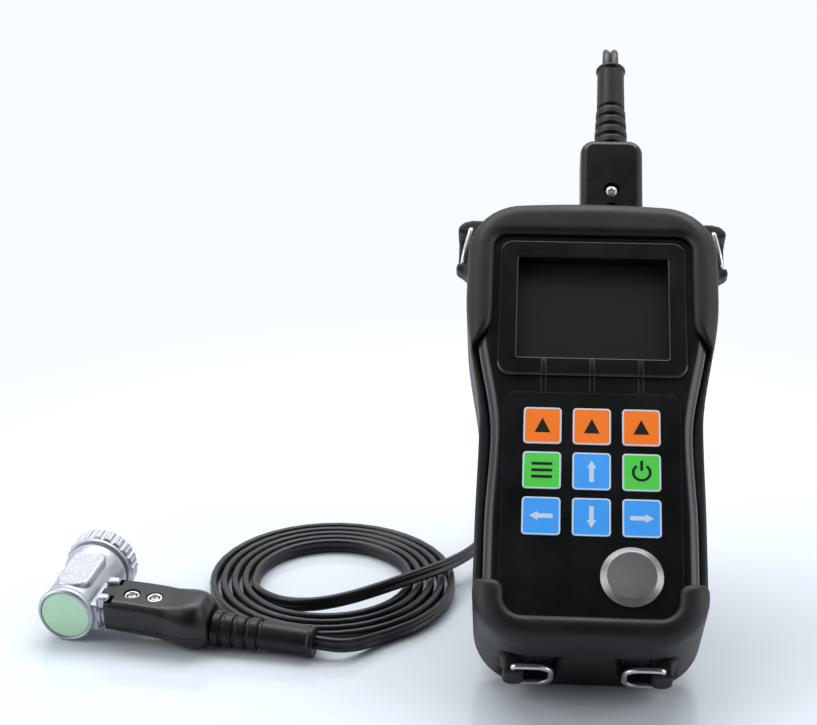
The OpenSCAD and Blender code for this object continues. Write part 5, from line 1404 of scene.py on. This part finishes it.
@dataclass
class ProbePlug:
    """The housing that plugs into the probe's side."""

    width: float = 15.0
    height: float = 12.0
    shares: tuple = ((0, 0.555, -0.56, 0.515), (0.05, 0.57, -0.575, 0.53), (0.3, 0.575, -0.63, 0.515),
                     (0.48, 0.58, -0.68, 0.487), (0.6, 0.595, -0.74, 0.475), (0.7, 0.64, -0.83, 0.51),
                     (0.8, 0.67, -0.885, 0.57), (0.88, 0.65, -0.875, 0.575), (0.94, 0.585, -0.83, 0.48),
                     (0.98, 0.507, -0.75, 0.33), (1, 0.44, -0.685, 0.22))
    edge: float = 2.6
    parting: float = -3.6
    fuller: float = 0.45
    screws: tuple = (7.9, 16.1)
    screws_y: float = -0.9

    def station(self, t: float) -> list[float]:
        """Gives a section of the housing at a place along it, from 0 to 1."""
        rows = self.shares
        i = max(k for k in range(len(rows) - 1) if rows[k][0] <= t + 1e-9)
        a, b = rows[max(i - 1, 0)], rows[i]
        c, d = rows[i + 1], rows[min(i + 2, len(rows) - 1)]
        s = (t - b[0]) / (c[0] - b[0])
        found = [t]
        for k in (1, 2, 3):
            tb = (c[k] - a[k]) / max(c[0] - a[0], 1e-6) * (c[0] - b[0])
            tc = (d[k] - b[k]) / max(d[0] - b[0], 1e-6) * (c[0] - b[0])
            found.append(b[k] * (2 * s ** 3 - 3 * s * s + 1) + tb * (s ** 3 - 2 * s * s + s)
                         + c[k] * (3 * s * s - 2 * s ** 3) + tc * (s ** 3 - s * s))
        return found

    def ring(self, t: float) -> list[Vector]:
        """Gives the ring of points of a section."""
        s = self.station(t)
        w, low, top = s[1] * self.width, s[2] * self.height, s[3] * self.height
        r = 0.42 * min(2 * w, top - low) * (1 if t > 0 else 0.9)
        e = self.edge + (r - self.edge) * eased((t - self.fuller) / self.fuller)
        found = []
        for y, z, c, start in ((w - r, low + r, r, -90), (w - e, top - e, e, 0), (e - w, top - e, e, 90),
                               (r - w, low + r, r, 180)):
            found += [Vector((PROBE_PLUG_START + t * PROBE_PLUG_LONG, PROBE_PLUG_Y + p[0], p[1]))
                      for p in arc((y, z), c, start, start + 90)]
        return found

    def solid(self) -> BMesh:
        """Makes the whole housing."""
        stops = sorted({0, 0.012, 0.05, *[0.05 + 0.93 * i / 30 for i in range(31)], 0.99, 1.0})
        return lofted([self.ring(t) for t in stops])

    def build(self) -> None:
        """Makes both shells, the screws with their eyelets, and the relief."""
        place = offset(PROBE_PLUG_START, PROBE_PLUG_Y, 0)
        for side, name, node in ((1, "probe_plug_top", "probe_plug_upper_shell"),
                                 (-1, "probe_plug_bottom", "probe_plug_lower_shell")):
            bm = halved(self.solid(), 2, self.parting + 0.03 * side, side, 0.16)
            if side > 0:
                holes = [moved(rod((x, self.screws_y, 4.3), 2.95, 6), place) for x in self.screws]
                tabs = [moved(plate((x, 0.6), (-2.6, 2.6), (3.2, z), 0, 0.3), place)
                        for x, z in ((-2.2, 6.1), (-3.6, 4.2))]
                slots = [moved(plate((-1, 2.7), (y - 2.1, y + 2.1), (3.9, 8)), place) for y in (-5.6, 5.1)]
                bm = combined(bm, added=tabs, cut=[*holes, *slots])
            finished(bm, name, TO_PROBE, [GRIP_NYLON], (node,), sharp=30)
        rim = filleted([(1.8, 4.35), (1.8, 5.45), (2.05, 5.75), (2.5, 5.75), (2.74, 5.45), (2.74, 4.35), (1.8, 4.35)],
                       0.12, 2)
        screws = []
        for x in self.screws:
            screws.append(moved(painted(screw(1.1, 9.5, 1.5, 0.8), 1), place @ offset(x, self.screws_y, 4.75)))
            screws.append(moved(turned(rim, 40), place @ offset(x, self.screws_y, 0)))
        finished(joined(*screws), "probe_plug_cross_screws", TO_PROBE, [EYELET, SUNK_STEEL],
                 ("probe_plug_screws",))
        lay = offset(*RELIEF_AT) @ Matrix.Rotation(math.radians(90) + RELIEF_DROP, 4, "Y")
        finished(moved(relief(), lay), "probe_relief", TO_PROBE, [RELIEF_RUBBER],
                 ("probe_strain_relief",), sharp=50)


NODE_FINISHES = {
    CASE_ABS: ("rear_case", "battery_door"), GASKET: ("case_gasket",),
    SCREW_STEEL: ("case_screws", "battery_door_screws", "board_screws", "zero_disc_nut", "stand_screws"),
    CELL_WRAP: ("battery_cells",), NICKEL: ("battery_springs", "battery_contacts", "key_domes", "socket_nuts"),
    BOARD: ("main_board", "keypad_board"), CHIP: ("board_chips",), TIN: ("pulser_shield",),
    BRASS: ("coax_sockets", "plug_pins", "probe_plug_pins"), BRACKET: ("stand_bracket",),
    DELAY: ("probe_delay_lines",), CORK: ("probe_barrier",), CERAMIC: ("probe_crystals",),
    DAMPER: ("probe_damping_block",),
}


def dress_nodes() -> None:
    """Gives each of the model's own nodes that is shown its finish."""
    for node, finish in ((frame["nodes"][name], finish) for finish, names in NODE_FINISHES.items()
                         for name in names):
        if not node.material_slots:
            node.data.materials.append(finish.material())
        for held in node.material_slots:
            held.material = finish.material()


def main() -> None:
    """Builds the studio and every sub-assembly in order."""
    logging.basicConfig(level=logging.INFO, format="%(name)s: %(message)s")
    bpy.context.scene.view_settings.view_transform = "Standard"
    Studio().build()
    cord = Cord()
    run = cord.build()
    form = CaseForm()
    plug = Plug()
    for part in (plug, Holster(form), CaseFront(form), Keypad(), StrapRings(), Stand(), Probe(), ProbePlug()):
        part.build()
    dress_nodes()


if __name__ == "__main__":
    main()
